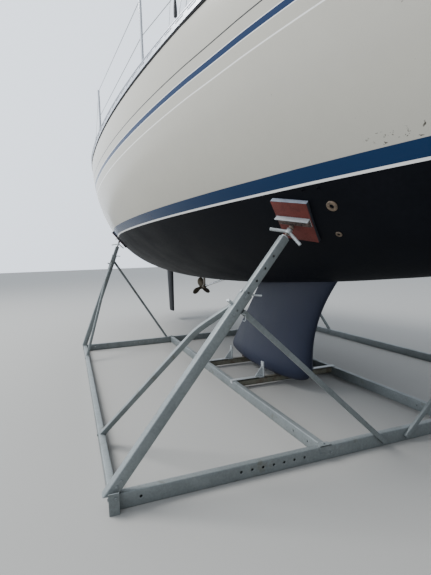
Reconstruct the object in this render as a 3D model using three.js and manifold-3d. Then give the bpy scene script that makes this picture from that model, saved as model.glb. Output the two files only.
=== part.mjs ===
// Sailing yacht on its yard cradle, at full size. Millimetres, +X to the bow, +Y to port, +Z up.
// The origin is on the floor, midway along the hull and on its centreline.
import * as THREE from "three";
import { mergeVertices } from "three/addons/utils/BufferGeometryUtils.js";
import Module from "manifold-3d";

const wasm = await Module();
wasm.setup();

// Driving dimensions of the hull
const BOW_X = 5600;
const STERN_X = -5600;
const HALF_BEAM = 1930;
const WIDEST_X = -600;
const STERN_HALF_BEAM = 1112;
const ENTRY_X = 4000; // forward of here the bow's sides run nearly straight
const FOREFOOT_X = 3000; // forward of here the bottom sweeps up into the stem
const COUNTER_X = -3500; // aft of here it sweeps up to the transom
const CANOE_DEPTH_Z = 1130; // lowest point of the hull, keel apart
const TRANSOM_RAKE = 0.25;
const GAP = 0.3; // between pieces that touch
const RAIL_HEIGHT = 38; // toe rail
const DECK_EDGE = 22; // thickness of the deck moulding at its edge
const SHEER = { lowZ: 2813, lowX: -3100, curve: 8.97e-6, straightX: 3000 }; // top edge of the toe rail
const SHOULDER = { lowZ: 2839, lowX: -2338, curve: 7.7e-6 }; // height at which the topsides stand upright

// Deck, coachroof and cockpit
const ROOF = {
  foreX: 2600, aftX: -2000, foreHalf: 620, aftHalf: 1020, foreZ: 140, aftZ: 390, wall: 30, lean: 90,
};
const CABIN = { foreX: 2350, aftX: -1900, half: 900, soleZ: 1640 };
const COCKPIT = {
  foreX: -2060, aftX: -4760, half: 1020, coaming: 250, seat: 60, wellHalf: 370, soleDrop: 480,
};
const FORE_HATCH = { x: 3060, side: 540, coaming: 45, lid: 28 };
const MAIN_HATCH = { x: -1640, length: 700, width: 660, hole: 560, lid: 30 };

// Rig
const MAST = { x: 1100, topZ: 17300, long: 170, wide: 115 };
const SPREADER_Z = 9900;
const SPREADER_HALF = 1130;
const BOOM = { z: 4120, length: 4250, high: 150, wide: 95, pivotGap: 60, pinR: 10 };
const CHAINPLATE = { capX: 1250, lowerX: [620, 1020], y: 1230, high: 34 };
const WIRE = 5; // radius of a stay
const WINCH_X = -3650;

// Fin keel, rudder and propeller
const KEEL = { tipFore: 1508, foreSweep: 612, tipAft: -640, aftSweep: 1270, bottomZ: 98, topZ: 1330 };
// Keel sections: share of its height, half thickness, and how far both ends are rounded in
const KEEL_RINGS = [
  [0, 100, 190],
  [0.025, 172, 80],
  [0.07, 205, 20],
  [0.14, 208, 0],
  [0.24, 184, 0],
  [0.38, 150, 0],
  [0.56, 126, 0],
  [0.78, 112, 0],
  [1, 105, 0],
];
const RUDDER = {
  x: -4330, bottomZ: 240, topChord: 560, bottomChord: 420, topHalf: 50, bottomHalf: 32, ahead: 0.22,
};
const STOCK_R = 30;
const PROPELLER = { x: -2050, z: 930, r: 190, shaftR: 15, slope: 0.16 };
const WHEEL = { x: -3930, r: 345, hubDrop: 330 };

// Cradle
const TUBE_H = 100;
const TUBE_W = 50;
const CRADLE = { foreX: 2680, aftX: -1850, halfY: 2125, innerY: 650, railFore: 2740, railAft: -1920 };
const BEARER_X = [1010, 80];
const LEG = 72;
const PROP = 58;
const PAD = {
  long: 276, high: 337, thick: 34, sunk: 14, ahead: 33, up: 17, channel: 250, flange: 36, open: 64, sheet: 6,
};
const HANDLE = { arm: 125, turn: 0.77, lean: 0.36, r: 11 }; // the screw's handle, both arms leaning back
const END_PLATE = { wide: 62, high: 130, thick: 8 };
const BRACE = { wide: 36, deep: 25 };
const BENT_BAR = { wide: 40, deep: 38, bendAt: 0.72, bend: 88 };

const MATERIALS = {
  gelcoat: { color: 0xd9d6cc, roughness: 0.25, metalness: 0 },
  deck: { color: 0xe4e1d8, roughness: 0.6, metalness: 0 },
  keel: { color: 0x2b3142, roughness: 0.6, metalness: 0 },
  aluminium: { color: 0xb9bcc0, roughness: 0.4, metalness: 1 },
  steel: { color: 0xc4c7ca, roughness: 0.25, metalness: 1 },
  galvanised: { color: 0x9aa3a8, roughness: 0.55, metalness: 0.8 },
  smoked: { color: 0x1d2226, roughness: 0.1, metalness: 0 },
  bronze: { color: 0xa98a4e, roughness: 0.4, metalness: 1 },
  teak: { color: 0x8a6038, roughness: 0.6, metalness: 0 },
  timber: { color: 0x55483a, roughness: 0.9, metalness: 0 },
  primer: { color: 0x7a3a2c, roughness: 0.8, metalness: 0 },
  blackPaint: { color: 0x17191c, roughness: 0.5, metalness: 0 },
};

const part = new THREE.Group();
const made = new Map();
const materialOf = new Map();

// Adds a finished geometry as one named mesh.
function add(name, geometry, material) {
  if (!materialOf.has(material)) materialOf.set(material, new THREE.MeshStandardMaterial(MATERIALS[material]));
  const mesh = new THREE.Mesh(geometry, materialOf.get(material));
  mesh.name = name;
  part.add(mesh);
  made.set(name, geometry);
}

// A closed geometry as a manifold solid.
function solid(geometry) {
  const bare = new THREE.BufferGeometry();
  const source = geometry.index ? geometry.toNonIndexed() : geometry;
  bare.setAttribute("position", source.getAttribute("position").clone());
  const merged = mergeVertices(bare, 1e-3);
  return new wasm.Manifold(
    new wasm.Mesh({
      numProp: 3,
      vertProperties: merged.attributes.position.array,
      triVerts: new Uint32Array(merged.index.array),
    }),
  );
}

// A manifold solid back as a three.js geometry.
function geometryOf(made) {
  const mesh = made.simplify(0.01).getMesh();
  const geometry = new THREE.BufferGeometry();
  geometry.setAttribute("position", new THREE.BufferAttribute(new Float32Array(mesh.vertProperties), 3));
  geometry.setIndex(new THREE.BufferAttribute(new Uint32Array(mesh.triVerts), 1));
  const flat = geometry.toNonIndexed();
  flat.computeVertexNormals();
  return flat;
}

const join = (first, ...others) => geometryOf(others.reduce((all, g) => all.add(solid(g)), solid(first)));
const cut = (from, ...tools) => geometryOf(tools.reduce((left, g) => left.subtract(solid(g)), solid(from)));
const moved = (geometry, x, y, z) => geometry.clone().translate(x, y, z);

// Trims a piece to its neighbours, so that it stands a hair off each of them.
function fitted(piece, ...neighbours) {
  const steps = [-GAP, GAP].flatMap((d) => [[d, 0, 0], [0, d, 0], [0, 0, d]]);
  return cut(piece, ...neighbours.flatMap((near) => steps.map((step) => moved(near, ...step))));
}

const mirrored = (geometry) => {
  const g = (geometry.index ? geometry.toNonIndexed() : geometry.clone()).scale(1, -1, 1);
  const p = g.getAttribute("position");
  for (let i = 0; i < p.count; i += 3) {
    const a = [p.getX(i + 1), p.getY(i + 1), p.getZ(i + 1)];
    p.setXYZ(i + 1, p.getX(i + 2), p.getY(i + 2), p.getZ(i + 2));
    p.setXYZ(i + 2, ...a);
  }
  g.computeVertexNormals();
  return g;
};

// A box between two opposite corners.
function block([x0, y0, z0], [x1, y1, z1]) {
  return new THREE.BoxGeometry(x1 - x0, y1 - y0, z1 - z0).translate((x0 + x1) / 2, (y0 + y1) / 2, (z0 + z1) / 2);
}

// A skin over rings of equally many points, each ring run the same way round, closed by a fan at both ends.
function loft(rings) {
  const points = [];
  const n = rings[0].length;
  const middle = (ring) =>
    ring.reduce((sum, p) => sum.add(new THREE.Vector3(...p)), new THREE.Vector3()).divideScalar(n);
  const put = (...triangle) => triangle.forEach((p) => points.push(...(p.isVector3 ? p.toArray() : p)));
  rings.slice(1).forEach((next, i) => {
    const ring = rings[i];
    for (let k = 0; k < n; k += 1) {
      const m = (k + 1) % n;
      put(ring[k], next[k], next[m]);
      put(ring[k], next[m], ring[m]);
    }
  });
  const last = rings[rings.length - 1];
  for (let k = 0; k < n; k += 1) {
    const m = (k + 1) % n;
    put(middle(rings[0]), rings[0][k], rings[0][m]);
    put(middle(last), last[m], last[k]);
  }
  const geometry = new THREE.BufferGeometry();
  geometry.setAttribute("position", new THREE.Float32BufferAttribute(points, 3));
  const volume = points.reduce((sum, _, i) => {
    if (i % 9) return sum;
    const corner = (k) => new THREE.Vector3(points[i + k], points[i + k + 1], points[i + k + 2]);
    const [a, b, c] = [0, 3, 6].map(corner);
    return sum + a.dot(b.cross(c));
  }, 0);
  if (volume < 0) return loft(rings.map((ring) => [...ring].reverse()));
  geometry.computeVertexNormals();
  return geometry;
}

// A round bar through straight or curved stretches: points joined by a tube of so many sides.
function rod(points, radius, sides = 8, closed = false) {
  const at = points.map((p) => new THREE.Vector3(...p));
  const path = new THREE.CurvePath();
  at.slice(1).forEach((p, i) => path.add(new THREE.LineCurve3(at[i], p)));
  if (closed) path.add(new THREE.LineCurve3(at[at.length - 1], at[0]));
  const count = at.length;
  const rings = at.map((p, i) => {
    const before = at[closed ? (i + count - 1) % count : Math.max(i - 1, 0)];
    const after = at[closed ? (i + 1) % count : Math.min(i + 1, count - 1)];
    const into = i || closed ? p.clone().sub(before).normalize() : after.clone().sub(p).normalize();
    const out = i < count - 1 || closed ? after.clone().sub(p).normalize() : into.clone();
    const along = into.clone().add(out).normalize();
    const stretch = 1 / Math.max(0.5, along.dot(out));
    return { p, along, bend: out.clone().sub(into), stretch };
  });
  const start = Math.abs(rings[0].along.z) < 0.9 ? new THREE.Vector3(0, 0, 1) : new THREE.Vector3(1, 0, 0);
  let side = new THREE.Vector3().crossVectors(rings[0].along, start).normalize();
  const skins = rings.map(({ p, along, bend, stretch }) => {
    side = side.clone().sub(along.clone().multiplyScalar(side.dot(along))).normalize();
    const up = new THREE.Vector3().crossVectors(along, side);
    const fold = bend.length() > 1e-6 ? bend.clone().normalize() : null;
    return Array.from({ length: sides }, (_, k) => {
      const angle = (2 * Math.PI * (k + 0.5)) / sides;
      const spoke = side.clone().multiplyScalar(Math.cos(angle)).add(up.clone().multiplyScalar(Math.sin(angle)));
      if (fold) spoke.add(fold.clone().multiplyScalar(spoke.dot(fold) * (stretch - 1)));
      return p.clone().add(spoke.multiplyScalar(radius)).toArray();
    });
  });
  return loft(skins);
}

// A square bar from p to q, so wide along "across" and so deep at right angles to it.
function bar(p, q, wide, deep, across = [1, 0, 0]) {
  const [a, b] = [new THREE.Vector3(...p), new THREE.Vector3(...q)];
  const along = b.clone().sub(a).normalize();
  const sideways = new THREE.Vector3(...across);
  const x = sideways.clone().addScaledVector(along, -along.dot(sideways)).normalize();
  const y = new THREE.Vector3().crossVectors(along, x);
  const box = new THREE.BoxGeometry(wide, deep, a.distanceTo(b));
  return box.applyMatrix4(
    new THREE.Matrix4().makeBasis(x, y, along).setPosition(a.clone().add(b).multiplyScalar(0.5)),
  );
}

// Hull lines
const clamp = (v) => Math.min(Math.max(v, 0), 1);

function halfBeam(x) {
  if (x < WIDEST_X) {
    const aft = (WIDEST_X - x) / (WIDEST_X + 5500);
    return HALF_BEAM - (HALF_BEAM - STERN_HALF_BEAM) * aft ** 1.39;
  }
  const full = (at) => HALF_BEAM * (1 - ((at - WIDEST_X) / 6072) ** 2.085);
  if (x < ENTRY_X) return full(x);
  const s = (x - ENTRY_X) / (BOW_X - ENTRY_X);
  const slope = 0.49 * (BOW_X - ENTRY_X);
  return Math.max(full(ENTRY_X) - slope * s - (full(ENTRY_X) - slope) * s * s, 0);
}

// Straight from straightX to the bow
function sheer(x) {
  const curved = Math.min(x, SHEER.straightX) - SHEER.lowX;
  const ahead = Math.max(x - SHEER.straightX, 0);
  return SHEER.lowZ + SHEER.curve * curved * (curved + 2 * ahead);
}

const hullTop = (x) => sheer(x) - RAIL_HEIGHT - DECK_EDGE;

// Where the section turns upright: it meets the sheer again at the stem.
function shoulder(x) {
  const at = Math.min(x, SHEER.straightX);
  const curved = SHOULDER.lowZ + SHOULDER.curve * (at - SHOULDER.lowX) ** 2;
  const left = clamp((BOW_X - x) / (BOW_X - SHEER.straightX));
  return x < SHEER.straightX ? curved : sheer(x) - (sheer(SHEER.straightX) - curved) * left;
}

function hullBottom(x) {
  const flat = (at) => CANOE_DEPTH_Z + 1.3e-5 * (at + 410) ** 2;
  if (x > FOREFOOT_X) {
    const s = (x - FOREFOOT_X) / (BOW_X - FOREFOOT_X);
    const rise = 2.6e-5 * (FOREFOOT_X + 410) * (BOW_X - FOREFOOT_X);
    const stem = hullTop(BOW_X) - flat(FOREFOOT_X) - rise;
    return flat(FOREFOOT_X) + rise * s + stem * s ** 3;
  }
  if (x < COUNTER_X) {
    const s = (COUNTER_X - x) / (COUNTER_X - STERN_X);
    const rise = -2.6e-5 * (COUNTER_X + 410) * (COUNTER_X - STERN_X);
    return flat(COUNTER_X) + rise * s + 527 * s ** 2.2;
  }
  return flat(x);
}

// Half breadth of the hull at height z.
function breadth(x, z) {
  const t = clamp((z - hullBottom(x)) / Math.max(shoulder(x) - hullBottom(x), 60));
  const p = 2.28 - 0.9 * clamp((x - ENTRY_X) / (BOW_X - ENTRY_X));
  const q = 1.838 - 0.35 * clamp((x + 1000) / 6472);
  return halfBeam(x) * (1 - (1 - t) ** p) ** (1 / q);
}

// The skin's outward unit normal at height z on one side (+1 port, -1 starboard).
function skinNormal(x, z, side) {
  const along = new THREE.Vector3(2, side * (breadth(x + 1, z) - breadth(x - 1, z)), 0);
  const up = new THREE.Vector3(0, side * (breadth(x, z + 1) - breadth(x, z - 1)), 2);
  const normal = new THREE.Vector3().crossVectors(along, up).normalize();
  return normal.y * side < 0 ? normal.negate() : normal;
}

const between = (from, to, count) =>
  Array.from({ length: count + 1 }, (_, i) => from + ((to - from) * i) / count);

const STATIONS = [...between(STERN_X, 3600, 18), ...between(3900, 5400, 5), BOW_X - 2];

// Where the deck and its toe rails have their sections: the transom's head, then as the hull
const EDGE_STATIONS = [STERN_X + 330, ...STATIONS.filter((x) => x > STERN_X + 400 && x < 5410)];

// Transom: the section's foot lies further aft than its head.
const transomX = (x, z) => (x > STERN_X + 1 ? x : STERN_X + TRANSOM_RAKE * (z - hullBottom(STERN_X)));

function section(x, side = 14) {
  const top = hullTop(x);
  const foot = hullBottom(x);
  const half = between(0, 1, side).map((s) => {
    const z = foot + (top - foot) * s ** 1.8;
    return [z, breadth(x, z)];
  });
  const starboard = half.map(([z, y]) => [transomX(x, z), -y, z]);
  const port = half.slice(1).map(([z, y]) => [transomX(x, z), y, z]);
  return [...starboard.reverse(), ...port];
}

// A point on the propeller shaft, so far ahead of the propeller.
const shaftPoint = (d) => {
  const tilt = Math.atan(PROPELLER.slope);
  return [PROPELLER.x + d * Math.cos(tilt), 0, PROPELLER.z + d * Math.sin(tilt)];
};

// A block under the deck, its sides following the plan, to be cut out of the hull.
function well(foreX, aftX, half, soleZ, topExtra) {
  return loft(
    between(aftX, foreX, 6).map((x) => {
      const y = Math.min(half, breadth(x, soleZ) - 110);
      const z = hullTop(x) + topExtra;
      return [
        [x, -y, soleZ],
        [x, y, soleZ],
        [x, y, z],
        [x, -y, z],
      ];
    }),
  );
}

const hullSkin = loft(STATIONS.map((x) => section(x)));
const cockpitSoleZ = hullTop(COCKPIT.aftX) - COCKPIT.soleDrop;

function buildHull() {
  const cabin = well(CABIN.foreX, CABIN.aftX, CABIN.half, CABIN.soleZ, 40);
  const cockpitBed = block(
    [COCKPIT.aftX - GAP, -COCKPIT.half - GAP, cockpitSoleZ - 40],
    [COCKPIT.foreX + GAP, COCKPIT.half + GAP, 3400],
  );
  const forePeak = block([FORE_HATCH.x - 210, -210, 2300], [FORE_HATCH.x + 210, 210, 3400]);
  const sternTube = rod([shaftPoint(700), shaftPoint(1400)], PROPELLER.shaftR + 1, 12);
  const rudderTube = new THREE.CylinderGeometry(STOCK_R + 0.9, STOCK_R + 0.9, 700, 16)
    .rotateX(Math.PI / 2)
    .translate(RUDDER.x, 0, hullBottom(RUDDER.x) + 250);
  add("hull", cut(hullSkin, cabin, cockpitBed, forePeak, rudderTube, sternTube), "gelcoat");
}

// Deck moulding: the deck with its camber, and the hollow coachroof standing on it
const camber = (x, y) => 0.05 * halfBeam(x) * (1 - (y / Math.max(halfBeam(x), 1)) ** 2);
const deckZ = (x, y) => hullTop(x) + GAP + DECK_EDGE + camber(x, y);

function roofHalf(x) {
  const s = (x - ROOF.aftX) / (ROOF.foreX - ROOF.aftX);
  return ROOF.aftHalf + (ROOF.foreHalf - ROOF.aftHalf) * s ** 1.6;
}

// The roof's crown is straight from end to end, so that the main hatch can slide on it.
const CROWN_AFT = hullTop(ROOF.aftX) + ROOF.aftZ + 90;
const CROWN_FORE = hullTop(ROOF.foreX) + ROOF.foreZ + 70;
const crown = (x) => CROWN_AFT + ((CROWN_FORE - CROWN_AFT) * (x - ROOF.aftX)) / (ROOF.foreX - ROOF.aftX);
const ROOF_SLOPE = (CROWN_FORE - CROWN_AFT) / (ROOF.foreX - ROOF.aftX);

function roofRing(x, inset, bottom) {
  const foot = roofHalf(x) - inset;
  const head = foot - ROOF.lean;
  const edge = crown(x) - 60 - inset;
  const top = between(-1, 1, 6).map((s) => [x, s * head, edge + 60 * (1 - s * s)]);
  return [...top, [x, foot, bottom(x)], [x, -foot, bottom(x)]];
}

function buildDeck() {
  const plate = loft(
    EDGE_STATIONS.map((x) => {
      const y = breadth(x, hullTop(x)) - 2;
      const top = between(-1, 1, 8).map((s) => [x, s * y, deckZ(x, s * y)]);
      return [...top, [x, y, hullTop(x) - 4], [x, -y, hullTop(x) - 4]];
    }),
  );
  const outer = loft(between(ROOF.aftX, ROOF.foreX, 6).map((x) => roofRing(x, 0, (at) => hullTop(at) + GAP)));
  const inner = loft(
    between(ROOF.aftX + ROOF.wall, ROOF.foreX - 120, 6).map((x) =>
      roofRing(x, ROOF.wall, (at) => hullTop(at) - 50),
    ),
  );
  const cockpitHole = block(
    [COCKPIT.aftX - GAP, -COCKPIT.half - GAP, 2500],
    [COCKPIT.foreX + GAP, COCKPIT.half + GAP, 3120],
  );
  const hatchRim = block(
    [FORE_HATCH.x - FORE_HATCH.side / 2, -FORE_HATCH.side / 2, hullTop(FORE_HATCH.x) + 30],
    [FORE_HATCH.x + FORE_HATCH.side / 2, FORE_HATCH.side / 2, foreHatchZ],
  );
  const hatchHole = block([FORE_HATCH.x - 210, -210, 2500], [FORE_HATCH.x + 210, 210, foreHatchZ + 50]);
  const mainRim = [1, -1].map((side) => {
    const y = side * (MAIN_HATCH.hole / 2 + 30);
    const reach = [MAIN_HATCH.x - 340, MAIN_HATCH.x + 920];
    return bar([reach[0], y, crown(reach[0]) - 12], [reach[1], y, crown(reach[1]) - 12], 40, 44, [0, 1, 0]);
  });
  const mainHole = block(
    [ROOF.aftX - 50, -MAIN_HATCH.hole / 2, hullTop(ROOF.aftX) + 130],
    [MAIN_HATCH.x + 250, MAIN_HATCH.hole / 2, 3600],
  );
  const windows = [1, -1].map((side) => windowBlock(side, 12));
  const shell = join(plate, outer, hatchRim, ...mainRim);
  const open = cut(shell, inner, cockpitHole, hatchHole, mainHole, ...windows);
  add("deck", fitted(open, hullSkin), "deck");
}

// One long smoked window in each side of the coachroof.
const WINDOW = { foreX: 1500, aftX: -1500, low: 115, high: 290 };

function windowBlock(side, grow) {
  const rings = between(WINDOW.aftX - grow, WINDOW.foreX + grow, 6).map((x) => {
    const low = hullTop(x) + WINDOW.low - grow;
    const high = Math.min(hullTop(x) + WINDOW.high, crown(x) - 110) + grow;
    const near = side * (roofHalf(x) - 200);
    const far = side * (roofHalf(x) + 80);
    return [
      [x, near, low],
      [x, far, low],
      [x, far, high],
      [x, near, high],
    ];
  });
  return loft(rings);
}

function buildWindows() {
  const shell = (inset) =>
    loft(between(ROOF.aftX, ROOF.foreX, 6).map((x) => roofRing(x, inset, (at) => hullTop(at))));
  ["port", "starboard"].forEach((name, i) => {
    const side = i ? -1 : 1;
    const pane = solid(windowBlock(side, 12 - GAP)).intersect(solid(shell(8))).subtract(solid(shell(18)));
    add(`window_${name}`, geometryOf(pane), "smoked");
  });
}

const foreHatchZ = hullTop(FORE_HATCH.x) + GAP + DECK_EDGE + 70 + FORE_HATCH.coaming;

function buildHatches() {
  const half = FORE_HATCH.side / 2;
  const lid = block(
    [FORE_HATCH.x - half, -half, foreHatchZ + GAP],
    [FORE_HATCH.x + half, half, foreHatchZ + GAP + FORE_HATCH.lid],
  );
  add("fore_hatch", lid, "smoked");
  const { x, length, width, lid: thick } = MAIN_HATCH;
  const aft = x - length / 2 - 20;
  const fore = x + length / 2 - 20;
  const rise = 10 + GAP + thick / 2 + 0.6;
  const slide = bar([aft, 0, crown(aft) + rise], [fore, 0, crown(fore) + rise], width, thick, [0, 1, 0]);
  add("main_hatch", slide, "deck");
  const boardTop = crown(ROOF.aftX) - 30;
  const board = block(
    [ROOF.aftX + 5, -MAIN_HATCH.hole / 2 + GAP, hullTop(ROOF.aftX) + 130 + GAP],
    [ROOF.aftX + 25, MAIN_HATCH.hole / 2 - GAP, boardTop],
  );
  add("washboard", board, "teak");
}

// Cockpit liner: seats along both sides, a well between them, and coamings round the outside
const seatZ = hullTop(COCKPIT.aftX) - COCKPIT.seat;
const LOCKER = { foreX: -2500, aftX: -3420, inY: 450, outY: 850, lid: 26, depth: 330 };

function buildCockpit() {
  const { foreX, aftX, half, wellHalf } = COCKPIT;
  const rimZ = hullTop(aftX) + COCKPIT.coaming;
  const liner = block([aftX, -half, cockpitSoleZ - 39], [foreX, half, rimZ]);
  const seats = block([aftX + 40, -half + 90, seatZ], [foreX + 50, half - 90, rimZ + 50]);
  const foot = block([aftX + 260, -wellHalf, cockpitSoleZ], [foreX + 50, wellHalf, rimZ]);
  const lockers = [1, -1].flatMap((side) => {
    const [near, far] = side > 0 ? [LOCKER.inY, LOCKER.outY] : [-LOCKER.outY, -LOCKER.inY];
    return [
      block([LOCKER.aftX, near, seatZ - LOCKER.depth], [LOCKER.foreX, far, seatZ + 1]),
      block([LOCKER.aftX - 25, near - 25, seatZ - LOCKER.lid - GAP], [LOCKER.foreX + 25, far + 25, seatZ + 1]),
    ];
  });
  add("cockpit", cut(liner, seats, foot, ...lockers), "deck");
  ["port", "starboard"].forEach((name, i) => {
    const sign = i ? -1 : 1;
    const [near, far] = [LOCKER.inY - 20, LOCKER.outY + 20].map((y) => y * sign);
    const lid = block(
      [LOCKER.aftX - 20, Math.min(near, far), seatZ - LOCKER.lid],
      [LOCKER.foreX + 20, Math.max(near, far), seatZ],
    );
    add(`locker_lid_${name}`, lid, "teak");
  });
}

// Steering: a pedestal in the well and the wheel on its aft face
const wheelZ = seatZ + WHEEL.hubDrop - 200;

function buildSteering() {
  const post = new THREE.CylinderGeometry(55, 90, wheelZ + 120 - cockpitSoleZ - GAP, 16)
    .rotateX(Math.PI / 2)
    .translate(WHEEL.x + 130, 0, (cockpitSoleZ + GAP + wheelZ + 120) / 2);
  const head = new THREE.CylinderGeometry(28, 28, 70, 16).rotateZ(Math.PI / 2);
  head.translate(WHEEL.x + 50, 0, wheelZ);
  add("steering_pedestal", join(post, head), "gelcoat");
  const turn = between(0, 2 * Math.PI, 32).slice(0, 32);
  const rimRings = turn.map((a) =>
    between(0, 2 * Math.PI, 8)
      .slice(0, 8)
      .map((b) => {
        const r = WHEEL.r - 13 + 13 * Math.cos(b);
        return [WHEEL.x + 13 * Math.sin(b), r * Math.cos(a), wheelZ + r * Math.sin(a)];
      }),
  );
  const hub = new THREE.CylinderGeometry(42, 42, 29, 16).rotateZ(Math.PI / 2).translate(WHEEL.x, 0, wheelZ);
  const spokes = between(0, 2 * Math.PI, 6)
    .slice(0, 6)
    .map((a) => {
      const [y, z] = [Math.cos(a + 0.5236), Math.sin(a + 0.5236)];
      const at = (r) => [WHEEL.x, r * y, wheelZ + r * z];
      return rod([at(20), at(WHEEL.r - 13)], 7);
    });
  add("steering_wheel", join(ringLoft(rimRings), hub, ...spokes), "steel");
}

// A closed loop of rings, such as a wheel's rim.
function ringLoft(rings) {
  const points = [];
  const n = rings[0].length;
  rings.forEach((ring, i) => {
    const next = rings[(i + 1) % rings.length];
    for (let k = 0; k < n; k += 1) {
      const m = (k + 1) % n;
      points.push(...ring[k], ...next[k], ...next[m], ...ring[k], ...next[m], ...ring[m]);
    }
  });
  const geometry = new THREE.BufferGeometry();
  geometry.setAttribute("position", new THREE.Float32BufferAttribute(points, 3));
  geometry.computeVertexNormals();
  return solid(geometry).volume() < 0 ? ringLoft(rings.map((ring) => [...ring].reverse())) : geometry;
}

// A foil section: blunt ahead, fine behind.
function foil(foreX, aftX, halfThick, z, side = 9) {
  const half = between(0, 1, side).map((s) => {
    const u = s * s;
    const y = halfThick * 4.5 * (0.53 * Math.sqrt(u) - 0.1 * u - 0.42 * u * u);
    return [foreX + (aftX - foreX) * u, Math.max(y, 0)];
  });
  const port = half.map(([x, y]) => [x, Math.max(y, 2), z]);
  const starboard = half.map(([x, y]) => [x, -Math.max(y, 2), z]).reverse();
  return [...port, ...starboard];
}

// A fin that sweeps aft at its foot and swells there into a flat-bottomed bulb
function buildKeel() {
  const rings = KEEL_RINGS.map(([s, half, inset]) => {
    const z = KEEL.bottomZ + (KEEL.topZ - KEEL.bottomZ) * s;
    const fore = KEEL.tipFore + KEEL.foreSweep * s ** 2.37 - inset;
    const aft = KEEL.tipAft + KEEL.aftSweep * s + inset;
    return foil(fore, aft, half, z, 10);
  });
  add("keel", fitted(loft(rings), hullSkin), "keel");
}

function buildRudder() {
  const aheadTop = RUDDER.x + RUDDER.ahead * RUDDER.topChord;
  const topZ = hullBottom(aheadTop + 60) - 14;
  const rings = between(0, 1, 4).map((s) => {
    const chord = RUDDER.bottomChord + (RUDDER.topChord - RUDDER.bottomChord) * s;
    const fore = RUDDER.x + RUDDER.ahead * chord;
    const half = RUDDER.bottomHalf + (RUDDER.topHalf - RUDDER.bottomHalf) * s;
    return foil(fore, fore - chord, half, RUDDER.bottomZ + (topZ - RUDDER.bottomZ) * s);
  });
  const stock = new THREE.CylinderGeometry(STOCK_R, STOCK_R, hullBottom(RUDDER.x) + 520 - topZ + 200, 16)
    .rotateX(Math.PI / 2)
    .translate(RUDDER.x, 0, (hullBottom(RUDDER.x) + 520 + topZ - 200) / 2);
  add("rudder", join(loft(rings), stock), "blackPaint");
}

function buildPropeller() {
  const { x, z, r, shaftR, slope } = PROPELLER;
  const tilt = Math.atan(slope);
  const shaft = rod([shaftPoint(0), shaftPoint(1330)], shaftR, 12);
  const boss = rod([shaftPoint(-75), shaftPoint(45)], 34, 12);
  const blades = [0, 1, 2].map((k) => {
    const blade = loft(
      [
        [20, 32, 14],
        [90, 62, 10],
        [150, 58, 7],
        [r, 22, 4],
      ].map(([out, wide, thick]) => {
        const twist = 0.9 - (0.45 * out) / r;
        const corner = (u, v) => [
          u * Math.sin(twist) * wide + v * Math.cos(twist) * thick,
          u * Math.cos(twist) * wide - v * Math.sin(twist) * thick,
          out,
        ];
        return [corner(1, 0), corner(0, 0.5), corner(-1, 0), corner(0, -0.5)];
      }),
    );
    return blade.rotateX((k * 2 * Math.PI) / 3).rotateY(-tilt).translate(x, 0, z);
  });
  add("propeller", join(shaft, boss, ...blades), "bronze");
  const at = shaftPoint(190);
  const barrel = rod([shaftPoint(130), shaftPoint(250)], 34, 12);
  const bore = rod([shaftPoint(100), shaftPoint(280)], shaftR + 1, 12);
  const strut = bar([at[0] + 20, 0, at[2] + 20], [at[0] + 20, 0, hullBottom(at[0]) + 60], 18, 75, [0, 1, 0]);
  const bracket = join(barrel, strut);
  add("propeller_bracket", cut(fitted(bracket, hullSkin), bore), "bronze");
}

// A strip along the deck's edge, its foot lapping over the joint of deck and hull
function buildToeRails() {
  const strip = loft(
    EDGE_STATIONS.map((x) => {
      const y = breadth(x, hullTop(x)) + 4;
      const foot = hullTop(x) + 2;
      return [
        [x, y - 9, foot],
        [x, y, foot],
        [x, y, sheer(x)],
        [x, y - 9, sheer(x)],
      ];
    }),
  );
  add("toe_rail_port", fitted(strip, made.get("deck"), hullSkin), "aluminium");
  add("toe_rail_starboard", fitted(mirrored(strip), made.get("deck"), hullSkin), "aluminium");
}

// Guard rails: height above the deck, tube radius and how far in from the deck's edge
const GUARD = { high: 600, low: 300, r: 12.5, wire: 4, inset: 55 };
const railPoint = (x, side, height) => {
  const y = side * (breadth(x, hullTop(x)) - GUARD.inset);
  return [x, y, deckZ(x, y) + height];
};

function buildGuardRails() {
  const foot = -8;
  const head = GUARD.high - 4;
  const onDeck = (piece) => fitted(piece, made.get("deck"), hullSkin);
  const { high, low, r } = GUARD;
  const nose = [BOW_X - 120, 0, sheer(BOW_X) + high + 20];
  const bowXs = [4250, 4900];
  const along = (side) => bowXs.map((x) => railPoint(x, side, high));
  const bowTop = [...along(1), nose, ...along(-1).reverse()];
  const post = (x, side) => rod([railPoint(x, side, foot), railPoint(x, side, head)], r);
  const posts = bowXs.flatMap((x) => [post(x, 1), post(x, -1)]);
  const midRails = [1, -1].map((side) => rod(bowXs.map((x) => railPoint(x, side, low)), r * 0.8));
  add("pulpit", onDeck(join(rod(bowTop, r), ...posts, ...midRails)), "steel");
  const sternXs = [-4350, -5150];
  const loop = (height) => [
    ...sternXs.map((x) => railPoint(x, 1, height)),
    ...[...sternXs].reverse().map((x) => railPoint(x, -1, height)),
  ];
  const sternPosts = sternXs.flatMap((x) =>
    [1, -1].map((side) => rod([railPoint(x, side, foot), railPoint(x, side, head)], r)),
  );
  add("pushpit", onDeck(join(rod(loop(high), r), rod(loop(low), r * 0.8), ...sternPosts)), "steel");
  const stanchionXs = [3250, 1650, 50, -1550, -3050];
  const wireXs = [bowXs[0] - 2 * r, ...stanchionXs, sternXs[0] + 2 * r];
  ["port", "starboard"].forEach((name, i) => {
    const side = i ? -1 : 1;
    const stanchions = stanchionXs.map((x) => rod([railPoint(x, side, foot), railPoint(x, side, head)], r));
    const wireAt = (height) => rod(wireXs.map((x) => railPoint(x, side, height)), GUARD.wire, 6);
    const wires = [high - 12, low].map(wireAt);
    add(`lifelines_${name}`, onDeck(join(...stanchions, ...wires)), "steel");
  });
}

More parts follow.
